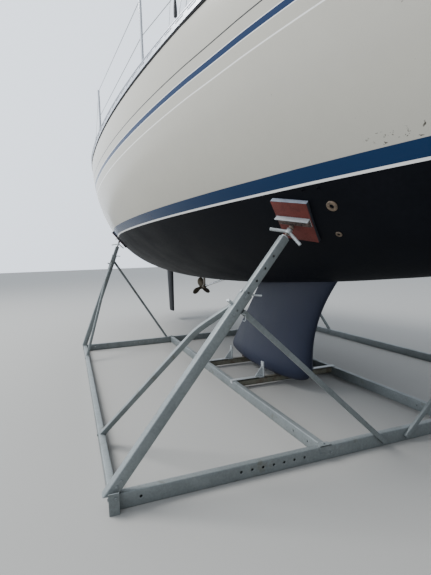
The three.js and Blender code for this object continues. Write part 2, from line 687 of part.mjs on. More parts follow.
function buildRig() {
  const oval = new THREE.Shape().absellipse(0, 0, MAST.long / 2, MAST.wide / 2, 0, 2 * Math.PI);
  const heelZ = crown(MAST.x + MAST.long / 2) + GAP;
  const drawn = { depth: MAST.topZ - heelZ, bevelEnabled: false, curveSegments: 10 };
  const tube = new THREE.ExtrudeGeometry(oval, drawn);
  tube.translate(MAST.x, 0, heelZ);
  const spreader = bar([MAST.x, -SPREADER_HALF, SPREADER_Z], [MAST.x, SPREADER_HALF, SPREADER_Z], 90, 30);
  const crane = block([MAST.x - 200, -30, MAST.topZ - 60], [MAST.x + 150, 30, MAST.topZ]);
  const face = MAST.x - MAST.long / 2;
  const pivotX = face - BOOM.pivotGap;
  const ears = [-1, 1].map((up) =>
    block([pivotX - 20, -20, BOOM.z + up * 30 - 5], [face + 15, 20, BOOM.z + up * 30 + 5]),
  );
  const pin = rod([[pivotX, 0, BOOM.z - 45], [pivotX, 0, BOOM.z + 45]], BOOM.pinR, 16);
  add("mast", join(tube, spreader, crane, ...ears, pin), "aluminium");

  const boomShape = new THREE.Shape().absellipse(0, 0, BOOM.wide / 2, BOOM.high / 2, 0, 2 * Math.PI);
  const boom = new THREE.ExtrudeGeometry(boomShape, { ...drawn, depth: BOOM.length, curveSegments: 8 });
  boom.rotateX(Math.PI / 2).rotateZ(-Math.PI / 2).translate(pivotX - BOOM.pivotGap, 0, BOOM.z);
  const tongue = block([pivotX - BOOM.pivotGap - 10, -18, BOOM.z - 24], [pivotX + 18, 18, BOOM.z + 24]);
  const eye = rod([[pivotX, 0, BOOM.z - 60], [pivotX, 0, BOOM.z + 60]], BOOM.pinR + 0.7, 16);
  add("boom", cut(join(boom, tongue), eye), "aluminium");

  const masthead = MAST.topZ - 30;
  const onDeck = (piece) => fitted(piece, made.get("deck"), made.get("mast"));
  const stem = [BOW_X - 260, 0, deckZ(BOW_X - 260, 0) - 10];
  add("forestay", onDeck(rod([stem, [MAST.x + 140, 0, masthead]], WIRE + 3, 8)), "steel");
  const sternFoot = [STERN_X + 480, 0, deckZ(STERN_X + 480, 0) - 10];
  add("backstay", onDeck(rod([sternFoot, [MAST.x - 190, 0, masthead]], WIRE, 8)), "steel");
  ["port", "starboard"].forEach((name, i) => {
    const side = i ? -1 : 1;
    const y = side * CHAINPLATE.y;
    const { capX, lowerX, high } = CHAINPLATE;
    const footOf = (x) => [x, y, deckZ(x, y) + 4];
    const [aftEnd, foreEnd] = [lowerX[0] - 30, capX + 30];
    const plate = bar([aftEnd, y, footOf(lowerX[0])[2]], [foreEnd, y, footOf(capX)[2]], 14, high, [0, 1, 0]);
    const tip = [MAST.x, side * (SPREADER_HALF + WIRE), SPREADER_Z];
    const head = [MAST.x, side * (MAST.wide / 2 - 5), MAST.topZ - 200];
    const hound = [MAST.x, side * (MAST.wide / 2 - 5), SPREADER_Z - 300];
    const cap = rod([footOf(capX), tip, head], WIRE, 6);
    const lowers = lowerX.map((x, k) =>
      rod([footOf(x), [MAST.x + (k - 0.5) * 50, hound[1], hound[2]]], WIRE, 6),
    );
    add(`shrouds_${name}`, onDeck(join(plate, cap, ...lowers)), "steel");
  });
}

function buildWinches() {
  const profile = [
    [0, 0],
    [75, 0],
    [75, 25],
    [52, 40],
    [48, 110],
    [68, 130],
    [68, 150],
    [0, 150],
  ].map(([r, z]) => new THREE.Vector2(r, z));
  ["port", "starboard"].forEach((name, i) => {
    const y = (i ? -1 : 1) * (COCKPIT.half - 80);
    const drum = new THREE.LatheGeometry(profile, 16).rotateX(Math.PI / 2);
    drum.translate(WINCH_X, y, hullTop(COCKPIT.aftX) + COCKPIT.coaming + GAP);
    add(`winch_${name}`, drum, "steel");
  });
}

// A triangular web, 8 mm thick, from the foot of an upright out along the sill.
function gusset(x, nearY, farY, lowZ, highZ) {
  const face = (at) => [[at, nearY, lowZ], [at, farY, lowZ], [at, nearY, highZ]];
  return loft([face(x - 4), face(x + 4)]);
}

// Cradle: a base of tubes, four braced legs with telescopic props, and the pads they hold
function buildCradleBase() {
  const { foreX, aftX, halfY, innerY, railFore, railAft } = CRADLE;
  ["port", "starboard"].forEach((name, i) => {
    const y = i ? -halfY : halfY;
    const w = TUBE_W / 2;
    const half = END_PLATE.wide / 2;
    const plates = [
      block([railFore - 1, y - half, 0], [railFore + END_PLATE.thick, y + half, END_PLATE.high]),
      block([railAft - END_PLATE.thick, y - half, 0], [railAft + 1, y + half, END_PLATE.high]),
    ];
    const rail = block([railAft, y - w, 0], [railFore, y + w, TUBE_H]);
    add(`side_rail_${name}`, join(rail, ...plates), "galvanised");
    const inner = i ? -innerY : innerY;
    add(
      `inner_beam_${name}`,
      block([aftX + w + GAP, inner - w, 0], [foreX - w - GAP, inner + w, TUBE_H]),
      "galvanised",
    );
  });
  [
    ["cross_beam_fore", foreX],
    ["cross_beam_aft", aftX],
  ].forEach(([name, x]) => {
    const y = halfY - TUBE_W / 2 - GAP;
    add(name, block([x - TUBE_W / 2, -y, 0], [x + TUBE_W / 2, y, TUBE_H]), "galvanised");
  });
  const reach = innerY - TUBE_W / 2 - GAP;
  ["fore", "aft"].forEach((name, i) => {
    const x = BEARER_X[i];
    const sill = block([x - 30, -reach, 30], [x + 30, reach, TUBE_H - 8]);
    const brackets = [1, -1].flatMap((side) => [
      block([x - 30, side * 290 - 6, 60], [x + 30, side * 290 + 6, 270]),
      gusset(x, side * 295, side * 410, TUBE_H - 10, 215),
    ]);
    add(`keel_bearer_${name}`, join(sill, ...brackets), "galvanised");
    const packing = block([x - 60, -110, TUBE_H - 8 + GAP], [x + 60, 110, 150]);
    add(`keel_block_${name}`, fitted(packing, made.get("keel")), "timber");
  });
}

// Corners of the cradle: the plane that the leg stands in, its side, the height at which its pad bears on the hull
// and the pad's turn there, how far up the leg its outer tube and braces reach, and where the braces land
const FORE = { x: 2680, padZ: 1670, turn: -0.48, outer: 0.718, crossAt: 0.66, railAt: 0.695, railX: 1800 };
const AFT = { x: -1850, padZ: 1820, turn: 0, outer: 0.86, crossAt: 0.8, railAt: 0.8, crossY: 700, railX: -1050 };
const CORNERS = [
  { name: "fore_starboard", side: -1, ...FORE, crossY: 139 },
  { name: "fore_port", side: 1, ...FORE, crossY: 62 },
  { name: "aft_starboard", side: -1, ...AFT },
  { name: "aft_port", side: 1, ...AFT },
];

// A pad's plate with the channel that its screw bears in, lying on the hull at a place, turned about the normal.
function padPlate(onHull, normal, turn, side) {
  const level = new THREE.Vector3(1, 0, 0).addScaledVector(normal, -normal.x).normalize();
  const upright = new THREE.Vector3().crossVectors(normal, level).multiplyScalar(-side);
  const centre = onHull.clone().addScaledVector(level, PAD.ahead).addScaledVector(upright, PAD.up);
  const lie = level.clone().applyAxisAngle(normal, -side * turn);
  const rise = new THREE.Vector3().crossVectors(normal, lie);
  const box = (long, high, thick, up, out) =>
    new THREE.BoxGeometry(long, high, thick).applyMatrix4(
      new THREE.Matrix4()
        .makeBasis(lie, rise, normal)
        .setPosition(centre.clone().addScaledVector(rise, up).addScaledVector(normal, out)),
    );
  const face = PAD.thick - PAD.sunk;
  const plate = box(PAD.long, PAD.high, PAD.thick, 0, PAD.thick / 2 - PAD.sunk);
  const flanges = [1, -1].map((up) =>
    box(PAD.channel, PAD.sheet, PAD.flange + 1, up * (PAD.open / 2 + PAD.sheet / 2), face + PAD.flange / 2 - 0.5),
  );
  return join(plate, ...flanges);
}

function buildCorner({ name, x, side, padZ, turn, outer, crossAt, railAt, crossY, railX }) {
  const normal = skinNormal(x, padZ, side);
  const onHull = new THREE.Vector3(x, side * breadth(x, padZ), padZ);
  add(`pad_${name}`, fitted(padPlate(onHull, normal, turn, side), hullSkin), "primer");

  const railY = side * CRADLE.halfY;
  const foot = new THREE.Vector3(x, railY, TUBE_H + 20);
  const back = onHull.clone().addScaledVector(normal, PAD.thick - PAD.sunk + GAP);
  const reach = back.clone().sub(foot);
  const length = reach.length();
  const along = reach.clone().normalize();
  const on = (d) => foot.clone().addScaledVector(along, d).toArray();
  const legTop = outer * length;
  const floor = block([x - 400, railY - 400, -400], [x + 400, railY + 400, TUBE_H + GAP]);
  const tube = bar(on(-90), on(legTop), LEG, LEG);
  add(`leg_${name}`, cut(tube, floor), "galvanised");
  const handle = new THREE.Vector3().crossVectors(along, new THREE.Vector3(1, 0, 0)).normalize();
  handle.add(new THREE.Vector3(-HANDLE.turn * side, 0, 0)).normalize();
  const hub = foot.clone().addScaledVector(along, length - 52);
  const arms = [1, -1].map((end) => {
    const out = handle.clone().multiplyScalar(end * Math.cos(HANDLE.lean));
    out.addScaledVector(along, -Math.sin(HANDLE.lean));
    return rod([hub.toArray(), hub.clone().addScaledVector(out, HANDLE.arm).toArray()], HANDLE.r);
  });
  const tip = plateTouch(foot, along, length, normal);
  const prop = join(
    bar(on(legTop + GAP), on(length - 104), PROP, PROP),
    rod([on(length - 116), tip], 12, 12),
    rod([on(length - 105), on(length - 34)], 24, 12),
    ...arms,
  );
  add(`prop_${name}`, fitted(prop, made.get(`pad_${name}`)), "galvanised");

  const meet = (share) => foot.clone().addScaledVector(along, share * length);
  const beam = made.get(x > 0 ? "cross_beam_fore" : "cross_beam_aft");
  const rail = made.get(side > 0 ? "side_rail_port" : "side_rail_starboard");
  const leg = made.get(`leg_${name}`);
  const outside = x + Math.sign(x) * (TUBE_W / 2 + GAP + BRACE.deep / 2);
  const under = new THREE.Vector3().crossVectors(along, new THREE.Vector3(1, 0, 0)).multiplyScalar(-side);
  const crossTop = meet(crossAt).addScaledVector(under, LEG / 2 - 3).setX(outside);
  const crossBrace = bar([outside, side * crossY, 36], crossTop.toArray(), BRACE.deep, BRACE.wide);
  add(`cross_brace_${name}`, fitted(crossBrace, beam, leg), "galvanised");
  add(`rail_brace_${name}`, fitted(bentBar(railX, side, meet(railAt)), rail, leg), "galvanised");
}

// The brace from the side rail up to the leg: two straight stretches, bent where it comes up to the leg.
function bentBar(railX, side, top) {
  const foot = new THREE.Vector3(railX, side * CRADLE.halfY, TUBE_H - 12);
  const bend = foot.clone().lerp(top, BENT_BAR.bendAt);
  bend.z += BENT_BAR.bend;
  const lower = bar(foot.toArray(), bend.toArray(), BENT_BAR.wide, BENT_BAR.deep);
  const upper = bar(bend.toArray(), top.toArray(), BENT_BAR.wide, BENT_BAR.deep);
  const elbow = new THREE.CylinderGeometry(BENT_BAR.deep / 2, BENT_BAR.deep / 2, BENT_BAR.wide - 2, 10);
  const across = new THREE.Vector3().crossVectors(top.clone().sub(bend), bend.clone().sub(foot)).normalize();
  elbow.applyQuaternion(new THREE.Quaternion().setFromUnitVectors(new THREE.Vector3(0, 1, 0), across));
  return join(lower, upper, elbow.translate(...bend.toArray()));
}

// The screw's end on the pad's outer face.
function plateTouch(foot, along, length, normal) {
  const share = along.dot(normal);
  return foot.clone().addScaledVector(along, length + 1 / Math.abs(share)).toArray();
}

buildHull();
buildKeel();
buildDeck();
buildWindows();
buildHatches();
buildCockpit();
buildSteering();
buildRudder();
buildPropeller();
buildToeRails();
buildGuardRails();
buildRig();
buildWinches();
buildCradleBase();
CORNERS.forEach(buildCorner);

export default part;
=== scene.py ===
"""Looks of a sailing yacht on its yard cradle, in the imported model's frame.

Metres, with +X to the bow, +Y to port and +Z up.
"""
import math

import bmesh
import bpy
from mathutils import Matrix, Quaternion, Vector


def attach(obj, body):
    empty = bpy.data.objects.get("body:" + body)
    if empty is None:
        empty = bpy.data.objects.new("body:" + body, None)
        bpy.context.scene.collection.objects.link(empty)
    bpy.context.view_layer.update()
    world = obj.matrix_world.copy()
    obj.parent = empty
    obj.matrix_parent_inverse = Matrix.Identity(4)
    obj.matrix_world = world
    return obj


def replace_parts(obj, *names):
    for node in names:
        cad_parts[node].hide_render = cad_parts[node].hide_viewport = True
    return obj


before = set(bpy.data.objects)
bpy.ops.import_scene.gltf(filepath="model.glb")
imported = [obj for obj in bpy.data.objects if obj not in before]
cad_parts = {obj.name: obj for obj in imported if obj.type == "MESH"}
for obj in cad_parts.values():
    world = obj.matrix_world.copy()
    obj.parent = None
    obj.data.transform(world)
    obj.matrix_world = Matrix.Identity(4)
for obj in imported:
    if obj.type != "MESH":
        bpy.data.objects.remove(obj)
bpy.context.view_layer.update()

# The ground, the light and the camera. The yacht stands outdoors on plain pale ground, under a soft sky that is
# brightest over its starboard quarter, and is seen from low down off the starboard bow, looking aft.
GROUND_HALF = 90
EYE = Vector((5.0, -2.285, 1.45))
LOOK = Vector((-0.93699, 0.34190, -0.07179)).normalized()
ROLL = math.radians(-1.956)


def placed(name, data):
    made = bpy.data.objects.new(name, data)
    bpy.context.scene.collection.objects.link(made)
    return made


# Fills a shader node's inputs; a value that is a socket is linked, any other is set.
def feed(node, values):
    for name, value in values.items():
        if isinstance(value, bpy.types.NodeSocket):
            node.id_data.links.new(value, node.inputs[name])
        else:
            node.inputs[name].default_value = value


def step(tree, kind, values=None, **settings):
    made = tree.nodes.new(kind)
    for name, value in settings.items():
        setattr(made, name, value)
    feed(made, values or {})
    return made


def over_paint(tree, mask, under, over, **settings):
    values = {"Factor": mask, "A": under, "B": over}
    return step(tree, "ShaderNodeMix", values, data_type="RGBA", **settings).outputs["Result"]


def ranged(tree, value, low, high, to_low=0.0, to_high=1.0, **settings):
    values = {"Value": value, "From Min": low, "From Max": high, "To Min": to_low, "To Max": to_high}
    return step(tree, "ShaderNodeMapRange", values, **settings).outputs[0]


# An empty material, with its node tree and its shader.
def blank_finish(name, roughness=0.5, metallic=0.0, specular=0.5):
    made = bpy.data.materials.new(name)
    made.use_nodes = True
    shader = made.node_tree.nodes["Principled BSDF"]
    feed(shader, {"Roughness": roughness, "Metallic": metallic, "Specular IOR Level": specular})
    return made, made.node_tree, shader


floor = placed("floor", bpy.data.meshes.new("floor"))
floor.data.from_pydata([(x * GROUND_HALF, y * GROUND_HALF, 0) for x, y in ((-1, -1), (1, -1), (1, 1), (-1, 1))],
                       [], [(0, 1, 2, 3)])
ground, tree, shader = blank_finish("pale_ground", 0.85)
noise = step(tree, "ShaderNodeTexNoise", {"Scale": 0.6, "Detail": 4.0}).outputs["Fac"]
feed(shader, {"Base Color": over_paint(tree, noise, (0.25, 0.245, 0.23, 1), (0.305, 0.30, 0.28, 1))})
floor.data.materials.append(ground)

sky = bpy.data.worlds.new("sky")
bpy.context.scene.world = sky
sky.use_nodes = True
tree = sky.node_tree
toward_light = step(tree, "ShaderNodeVectorMath", {0: step(tree, "ShaderNodeTexCoord").outputs["Generated"],
                                                   1: (-0.50, -0.66, 0.56)}, operation="DOT_PRODUCT").outputs["Value"]
feed(tree.nodes["Background"], {"Color": (0.80, 0.87, 0.97, 1), "Strength": ranged(
    tree, toward_light, -0.9, 1.0, 0.34, 2.25, interpolation_type="SMOOTHSTEP")})
lamp = placed("soft_light", bpy.data.lights.new("soft_light", "AREA"))
lamp.data.size, lamp.data.energy = 9.0, 5200
lamp.location = (-5.0, -11.0, 16.0)
lamp.rotation_euler = (Vector((0, 0, 1.5)) - lamp.location).to_track_quat("-Z", "Y").to_euler()

level = LOOK.cross(Vector((0, 0, 1))).normalized()
right = level * math.cos(ROLL) + level.cross(LOOK) * math.sin(ROLL)
camera = placed("camera", bpy.data.cameras.new("camera"))
camera.data.sensor_fit = "VERTICAL"
camera.data.sensor_height, camera.data.lens, camera.data.clip_end = 36, 24.75, 300
camera.matrix_world = Matrix.Translation(EYE) @ Matrix((right, right.cross(LOOK), -LOOK)).transposed().to_4x4()
bpy.context.scene.camera = camera

# The hull: a moulded glass-fibre shell, polished off-white above the waterline and painted below it. It was laid up
# in one mould, and its stripes are sprayed on. The cabin, the cockpit and the fore hatch are pockets in it.
BOW_X, STERN_X, WIDEST_X, TUCK_X = 5.6, -5.6, -0.6, -5.089
ENTRY_X, FOREFOOT_X, COUNTER_X, LOWEST_X = 4.0, 3.0, -3.5, -0.41
HALF_BEAM, STERN_HALF_BEAM, CANOE_Z, ROCKER, COUNTER_LIFT = 1.93, 1.112, 1.13, 1.3e-2, 0.527
RAIL_HIGH, DECK_EDGE, HAIR = 0.038, 0.022, 0.0003
SHEER_LOW, SHEER_Z, SHEER_RISE = -3.1, 2.813, 8.97e-3
SHOULDER_LOW, SHOULDER_Z, SHOULDER_RISE = -2.338, 2.839, 7.7e-3
WATER_Z, WATER_RISE = 1.8505, 1.6e-3
COCKPIT_FORE, COCKPIT_AFT, COCKPIT_HALF, SOLE_DROP = -2.06, -4.76, 1.02, 0.48


def clamp(value):
    return min(max(value, 0.0), 1.0)


def spread(first, last, count):
    return [first + (last - first) * i / count for i in range(count + 1)]


def half_beam(x):
    if x < WIDEST_X:
        return HALF_BEAM - (HALF_BEAM - STERN_HALF_BEAM) * ((WIDEST_X - x) / 4.9) ** 1.39
    full = lambda at: HALF_BEAM * (1 - ((at - WIDEST_X) / 6.072) ** 2.085)
    if x < ENTRY_X:
        return full(x)
    s = (x - ENTRY_X) / (BOW_X - ENTRY_X)
    slope = 0.49 * (BOW_X - ENTRY_X)
    return max(full(ENTRY_X) - slope * s - (full(ENTRY_X) - slope) * s * s, 0)


def sheer(x):
    curved = min(x, FOREFOOT_X) - SHEER_LOW
    return SHEER_Z + SHEER_RISE * curved * (curved + 2 * max(x - FOREFOOT_X, 0))


def hull_top(x):
    return sheer(x) - RAIL_HIGH - DECK_EDGE


def shoulder(x):
    curved = SHOULDER_Z + SHOULDER_RISE * (min(x, FOREFOOT_X) - SHOULDER_LOW) ** 2
    return curved if x < FOREFOOT_X else sheer(x) - (sheer(FOREFOOT_X) - curved) * clamp((BOW_X - x) / 2.6)


def hull_bottom(x):
    flat = lambda at: CANOE_Z + ROCKER * (at - LOWEST_X) ** 2
    slope = lambda at: 2 * ROCKER * (at - LOWEST_X)
    if x > FOREFOOT_X:
        run = BOW_X - FOREFOOT_X
        s, rise = (x - FOREFOOT_X) / run, slope(FOREFOOT_X) * run
        return flat(FOREFOOT_X) + rise * s + (hull_top(BOW_X) - flat(FOREFOOT_X) - rise) * s ** 3
    if x < COUNTER_X:
        run = COUNTER_X - STERN_X
        s = (COUNTER_X - x) / run
        return flat(COUNTER_X) - slope(COUNTER_X) * run * s + COUNTER_LIFT * s ** 2.2
    return flat(x)


def breadth(x, z):
    t = clamp((z - hull_bottom(x)) / max(shoulder(x) - hull_bottom(x), 0.06))
    p = 2.28 - 0.9 * clamp((x - ENTRY_X) / (BOW_X - ENTRY_X))
    q = 1.838 - 0.35 * clamp((x + 1) / 6.472)
    return half_beam(x) * (1 - (1 - t) ** p) ** (1 / q)


# Half the breadth at the deck's edge, so far in from it.
def edge_y(x, inside=0.0):
    return breadth(x, hull_top(x)) - inside


def skin_normal(x, z, side):
    along = Vector((0.002, side * (breadth(x + 0.001, z) - breadth(x - 0.001, z)), 0))
    up = Vector((0, side * (breadth(x, z + 0.001) - breadth(x, z - 0.001)), 0.002))
    normal = along.cross(up).normalized()
    return -normal if normal.y * side < 0 else normal


def waterline(x):
    return WATER_Z + WATER_RISE * x * x


# A skin over rings of equally many points; the ends are closed unless the rings run in a loop.
def skin(rings, loop=False):
    n = len(rings[0])
    faces = []
    for i in range(len(rings) if loop else len(rings) - 1):
        j = (i + 1) % len(rings)
        faces += [(i * n + k, i * n + (k + 1) % n, j * n + (k + 1) % n, j * n + k) for k in range(n)]
    if not loop:
        last = (len(rings) - 1) * n
        faces += [tuple(range(n))[::-1], tuple(range(last, last + n))]
    return [p for ring in rings for p in ring], faces


def together(*parts):
    points, faces = [], []
    for more, shapes in parts:
        faces += [tuple(i + len(points) for i in shape) for shape in shapes]
        points += list(more)
    return points, faces


# Merges doubles and turns the faces of a mesh outwards.
def cleaned(mesh, merge=True):
    shape = bmesh.new()
    shape.from_mesh(mesh)
    if merge:
        bmesh.ops.remove_doubles(shape, verts=shape.verts, dist=1e-5)
        bmesh.ops.dissolve_degenerate(shape, edges=shape.edges, dist=1e-6)
    bmesh.ops.recalc_face_normals(shape, faces=shape.faces)
    shape.to_mesh(mesh)
    shape.free()


def blank(name, shape):
    mesh = bpy.data.meshes.new(name)
    mesh.from_pydata([tuple(p) for p in shape[0]], [], shape[1])
    cleaned(mesh, merge=False)
    return placed(name, mesh)


# The mesh of the first object with its modifiers applied; the objects go.
def settled(*spent):
    mesh = bpy.data.meshes.new_from_object(spent[0].evaluated_get(bpy.context.evaluated_depsgraph_get()))
    for old in spent:
        bpy.data.objects.remove(old)
    return mesh


# Finishes a mesh and hangs it on its body; edges sharper than the angle stay crisp.
def kept(name, mesh, coat, body="yacht", crisp=35):
    cleaned(mesh)
    mesh.materials.clear()
    mesh.materials.append(coat)
    mesh.shade_smooth()
    mesh.set_sharp_from_angle(angle=math.radians(crisp))
    made = placed(name, mesh)
    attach(made, body)
    return made


# A piece from points and faces, with tools cut out of it and its edges rounded where asked.
def piece(name, shape, coat, body="yacht", crisp=35, cuts=(), rounding=0.0, steps=2):
    spent = [blank(name + "_blank", shape)]
    if cuts:
        spent.append(blank(name + "_cutter", together(*cuts)))
        drill = spent[0].modifiers.new("drill", "BOOLEAN")
        drill.object, drill.solver, drill.use_self = spent[1], "EXACT", True
    if rounding:
        edge = spent[0].modifiers.new("edge", "BEVEL")
        edge.width, edge.segments, edge.use_clamp_overlap = rounding, steps, True
        edge.limit_method, edge.angle_limit = "ANGLE", math.radians(40)
    return kept(name, settled(*spent), coat, body, crisp)


SOLE_Z = hull_top(COCKPIT_AFT) - SOLE_DROP
POCKETS = [  # aft end, fore end, half width, floor
    (COCKPIT_AFT - HAIR, COCKPIT_FORE + HAIR, lambda x: COCKPIT_HALF + HAIR, SOLE_Z - 0.04),
    (-1.9, 2.35, lambda x: min(0.9, breadth(x, 1.64) - 0.11), 1.64),
    (2.85, 3.27, lambda x: 0.21, 2.3),
]


def hull_ring(x, place, pocket):
    top, foot = hull_top(x), hull_bottom(x)
    split = waterline(x) if waterline(x) > foot + 0.05 else foot + 0.3 * (top - foot)
    half = [foot + (split - foot) * s ** 1.8 for s in spread(0, 1, 20)] + spread(split, top, 22)[1:]
    ring = [(place(z), -breadth(x, z), z) for z in reversed(half)] + [(place(z), breadth(x, z), z) for z in half[1:]]
    wide = min(pocket[2](x), edge_y(x, 0.06)) if pocket else min(0.3, 0.5 * edge_y(x))
    floor_z = pocket[3] if pocket else top - 0.0005
    return ring + [(place(top), y, z) for y, z in ((wide, top), (wide, floor_z), (-wide, floor_z), (-wide, top))]


stations = []
for u in spread(0, 1, 10):
    slant = lambda z, u=u: (STERN_X + 0.25 * (z - hull_bottom(STERN_X))) * (1 - u) + TUCK_X * u
    stations.append(hull_ring(STERN_X + (TUCK_X - STERN_X) * u, slant, None))
marks = [-5.0, COCKPIT_AFT - 0.0004]
for aft, fore, half, floor_z in POCKETS:
    marks += [aft - 0.0001, *spread(aft, fore, max(4, round((fore - aft) / 0.12))), fore + 0.0001]
for x in marks + spread(3.3, 5.4, 26) + spread(5.45, 5.595, 7):
    pocket = next((p for p in POCKETS if p[0] <= x <= p[1]), None)
    stations.append(hull_ring(x, lambda z, x=x: x, pocket))


# Where a point lies on its piece, and an uneven value that varies with it.
def on_piece(tree):
    return step(tree, "ShaderNodeTexCoord").outputs["Object"]


def mottled(tree, place, scale, detail, unevenness):
    values = {"Vector": place, "Scale": scale, "Detail": detail, "Roughness": unevenness}
    return step(tree, "ShaderNodeTexNoise", values).outputs["Fac"]


# A shader node group with named inputs and outputs, and its inputs' sockets inside it.
def effect(name, inputs, outputs):
    group = bpy.data.node_groups.new(name, "ShaderNodeTree")
    for label, value in inputs.items():
        kind = {4: "Color", 3: "Vector", 1: "Float"}[len(value) if isinstance(value, tuple) else 1]
        group.interface.new_socket(label, in_out="INPUT", socket_type="NodeSocket" + kind).default_value = value
    for label, kind in outputs.items():
        group.interface.new_socket(label, in_out="OUTPUT", socket_type="NodeSocket" + kind)
    return group, step(group, "NodeGroupInput").outputs


# Dirt and unevenness: a tint between two shades, a roughness and a height, each varying over the surface.
tree, given = effect("weathered_surface", {
    "Shade A": (1, 1, 1, 1), "Shade B": (0.5, 0.5, 0.5, 1), "Patches": 3.0, "Grain": 80.0, "Contrast": 1.0,
    "Smoothest": 0.3, "Roughest": 0.6}, {"Color": "Color", "Roughness": "Float", "Height": "Float"})
weather = tree
place = on_piece(tree)
patches = mottled(tree, place, given["Patches"], 6.0, 0.6)
grain = mottled(tree, place, given["Grain"], 3.0, 0.55)
both = step(tree, "ShaderNodeMix", {"Factor": 0.35, "A": patches, "B": grain}).outputs["Result"]
centred = step(tree, "ShaderNodeMath", {0: both, 1: 0.5}, operation="SUBTRACT").outputs[0]
mask = step(tree, "ShaderNodeMath", {0: centred, 1: given["Contrast"], 2: 0.5}, operation="MULTIPLY_ADD",
            use_clamp=True).outputs[0]
step(tree, "NodeGroupOutput", {"Color": over_paint(tree, mask, given["Shade A"], given["Shade B"]), "Height": grain,
                               "Roughness": ranged(tree, mask, 0.0, 1.0, given["Smoothest"], given["Roughest"])})


def weathered(tree, light, dark, patches=3.0, grain=80.0, contrast=1.6, rough=(0.3, 0.6)):
    return step(tree, "ShaderNodeGroup", {
        "Shade A": (*light, 1), "Shade B": (*dark, 1), "Patches": patches, "Grain": grain, "Contrast": contrast,
        "Smoothest": rough[0], "Roughest": rough[1]}, node_tree=weather).outputs


def bumped(tree, shader, height, depth):
    bump = step(tree, "ShaderNodeBump", {"Height": height, "Distance": depth, "Strength": 1.0})
    feed(shader, {"Normal": bump.outputs["Normal"]})


def finish(name, slot, light, dark, metallic=0.0, bump=0.0004, specular=0.5, **pattern):
    made, tree, shader = blank_finish(name, 0.5, metallic, specular)
    surface = weathered(tree, light, dark, **pattern)
    feed(shader, {"Base Color": surface["Color"], "Roughness": surface["Roughness"]})
    bumped(tree, shader, surface["Height"], bump)
    return made


def sums(tree, operation, one, other):
    return step(tree, "ShaderNodeMath", {0: one, 1: other}, operation=operation).outputs[0]


# Height of a point over a line that rises along the hull by "rise" times the square of the distance from "low".
def height_over(tree, low, rise):
    split = step(tree, "ShaderNodeSeparateXYZ", {0: on_piece(tree)}).outputs
    run = sums(tree, "SUBTRACT", split["X"], low)
    return sums(tree, "SUBTRACT", split["Z"], sums(tree, "MULTIPLY", sums(tree, "MULTIPLY", run, run), rise))


# 1 between two heights, with an edge that is a little soft.
def band(tree, height, low, high):
    soft = 0.0004
    return sums(tree, "MULTIPLY", ranged(tree, height, low - soft, low + soft),
                ranged(tree, height, high + soft, high - soft))


PALE, BLUE, PINLINE = (0.93, 0.91, 0.87, 1), (0.008, 0.028, 0.085, 1), (0.022, 0.022, 0.024, 1)
BOOT_BLUE, BOOT_WHITE, SCUFF = (0.004, 0.029, 0.086, 1), (0.95, 0.93, 0.89, 1), (0.045, 0.034, 0.026, 1)
STRIPES = [  # lower and upper edge where the shoulder is lowest, and the paint; later ones cover earlier ones
    (2.579, 2.587, PINLINE), (2.466, 2.511, PALE), (2.471, 2.506, BLUE), (2.385, 2.393, PALE),
]
BOOT_LOW, BOOT_HIGH, RUBBED_LOW, RUBBED_HIGH = 1.865, 1.9445, 1.953, 2.01
ANTIFOUL = {"light": (0.0032, 0.0038, 0.0055), "dark": (0.0075, 0.0085, 0.0115), "patches": 2.6, "grain": 38.0,
            "contrast": 2.2}
painted_hull, tree, shader = blank_finish("painted_hull", specular=0.17)
topsides = weathered(tree, (0.56, 0.532, 0.455), (0.505, 0.48, 0.41), patches=1.1, grain=14.0, contrast=1.5,
                     rough=(0.16, 0.26))
bottom = weathered(tree, **ANTIFOUL, rough=(0.36, 0.52))
under_sheer, over_water = height_over(tree, SHOULDER_LOW, SHOULDER_RISE), height_over(tree, 0.0, WATER_RISE)
colour = topsides["Color"]
for low, high, paint in STRIPES:
    colour = over_paint(tree, band(tree, under_sheer, low, high), colour, paint)
# Scuffs: a rubbed patch over the boot-top forward, and single specks elsewhere.
place = on_piece(tree)
specks = mottled(tree, place, 40.0, 3.0, 0.65)
forward = ranged(tree, step(tree, "ShaderNodeSeparateXYZ", {0: place}).outputs["X"], 3.32, 3.45)
rubbed = sums(tree, "MULTIPLY", forward, band(tree, over_water, RUBBED_LOW, RUBBED_HIGH))
scuffs = sums(tree, "MAXIMUM", sums(tree, "MULTIPLY", ranged(tree, specks, 0.60, 0.645, 0.0, 0.9), rubbed),
              ranged(tree, specks, 0.725, 0.77, 0.0, 0.5))
colour = over_paint(tree, scuffs, colour, SCUFF)
colour = over_paint(tree, band(tree, over_water, BOOT_LOW, BOOT_HIGH), colour, BOOT_BLUE)
colour = over_paint(tree, band(tree, over_water, WATER_Z, BOOT_LOW), colour, BOOT_WHITE)
below = band(tree, over_water, 0.0, WATER_Z)
sheen = step(tree, "ShaderNodeMix", {"Factor": below, "A": topsides["Roughness"], "B": bottom["Roughness"]})
feed(shader, {"Base Color": over_paint(tree, below, colour, bottom["Color"]), "Roughness": sheen.outputs["Result"]})
bumped(tree, shader, sums(tree, "MULTIPLY", below, bottom["Height"]), 0.0006)
antifouling = finish("antifouling", "bottom_paint", **ANTIFOUL, bump=0.0006, specular=0.05, rough=(0.42, 0.6))
bare_gel = finish("bare_gelcoat", "gelcoat", (0.46, 0.45, 0.42), (0.38, 0.37, 0.34), patches=2.0, grain=40.0,
                  rough=(0.35, 0.5))

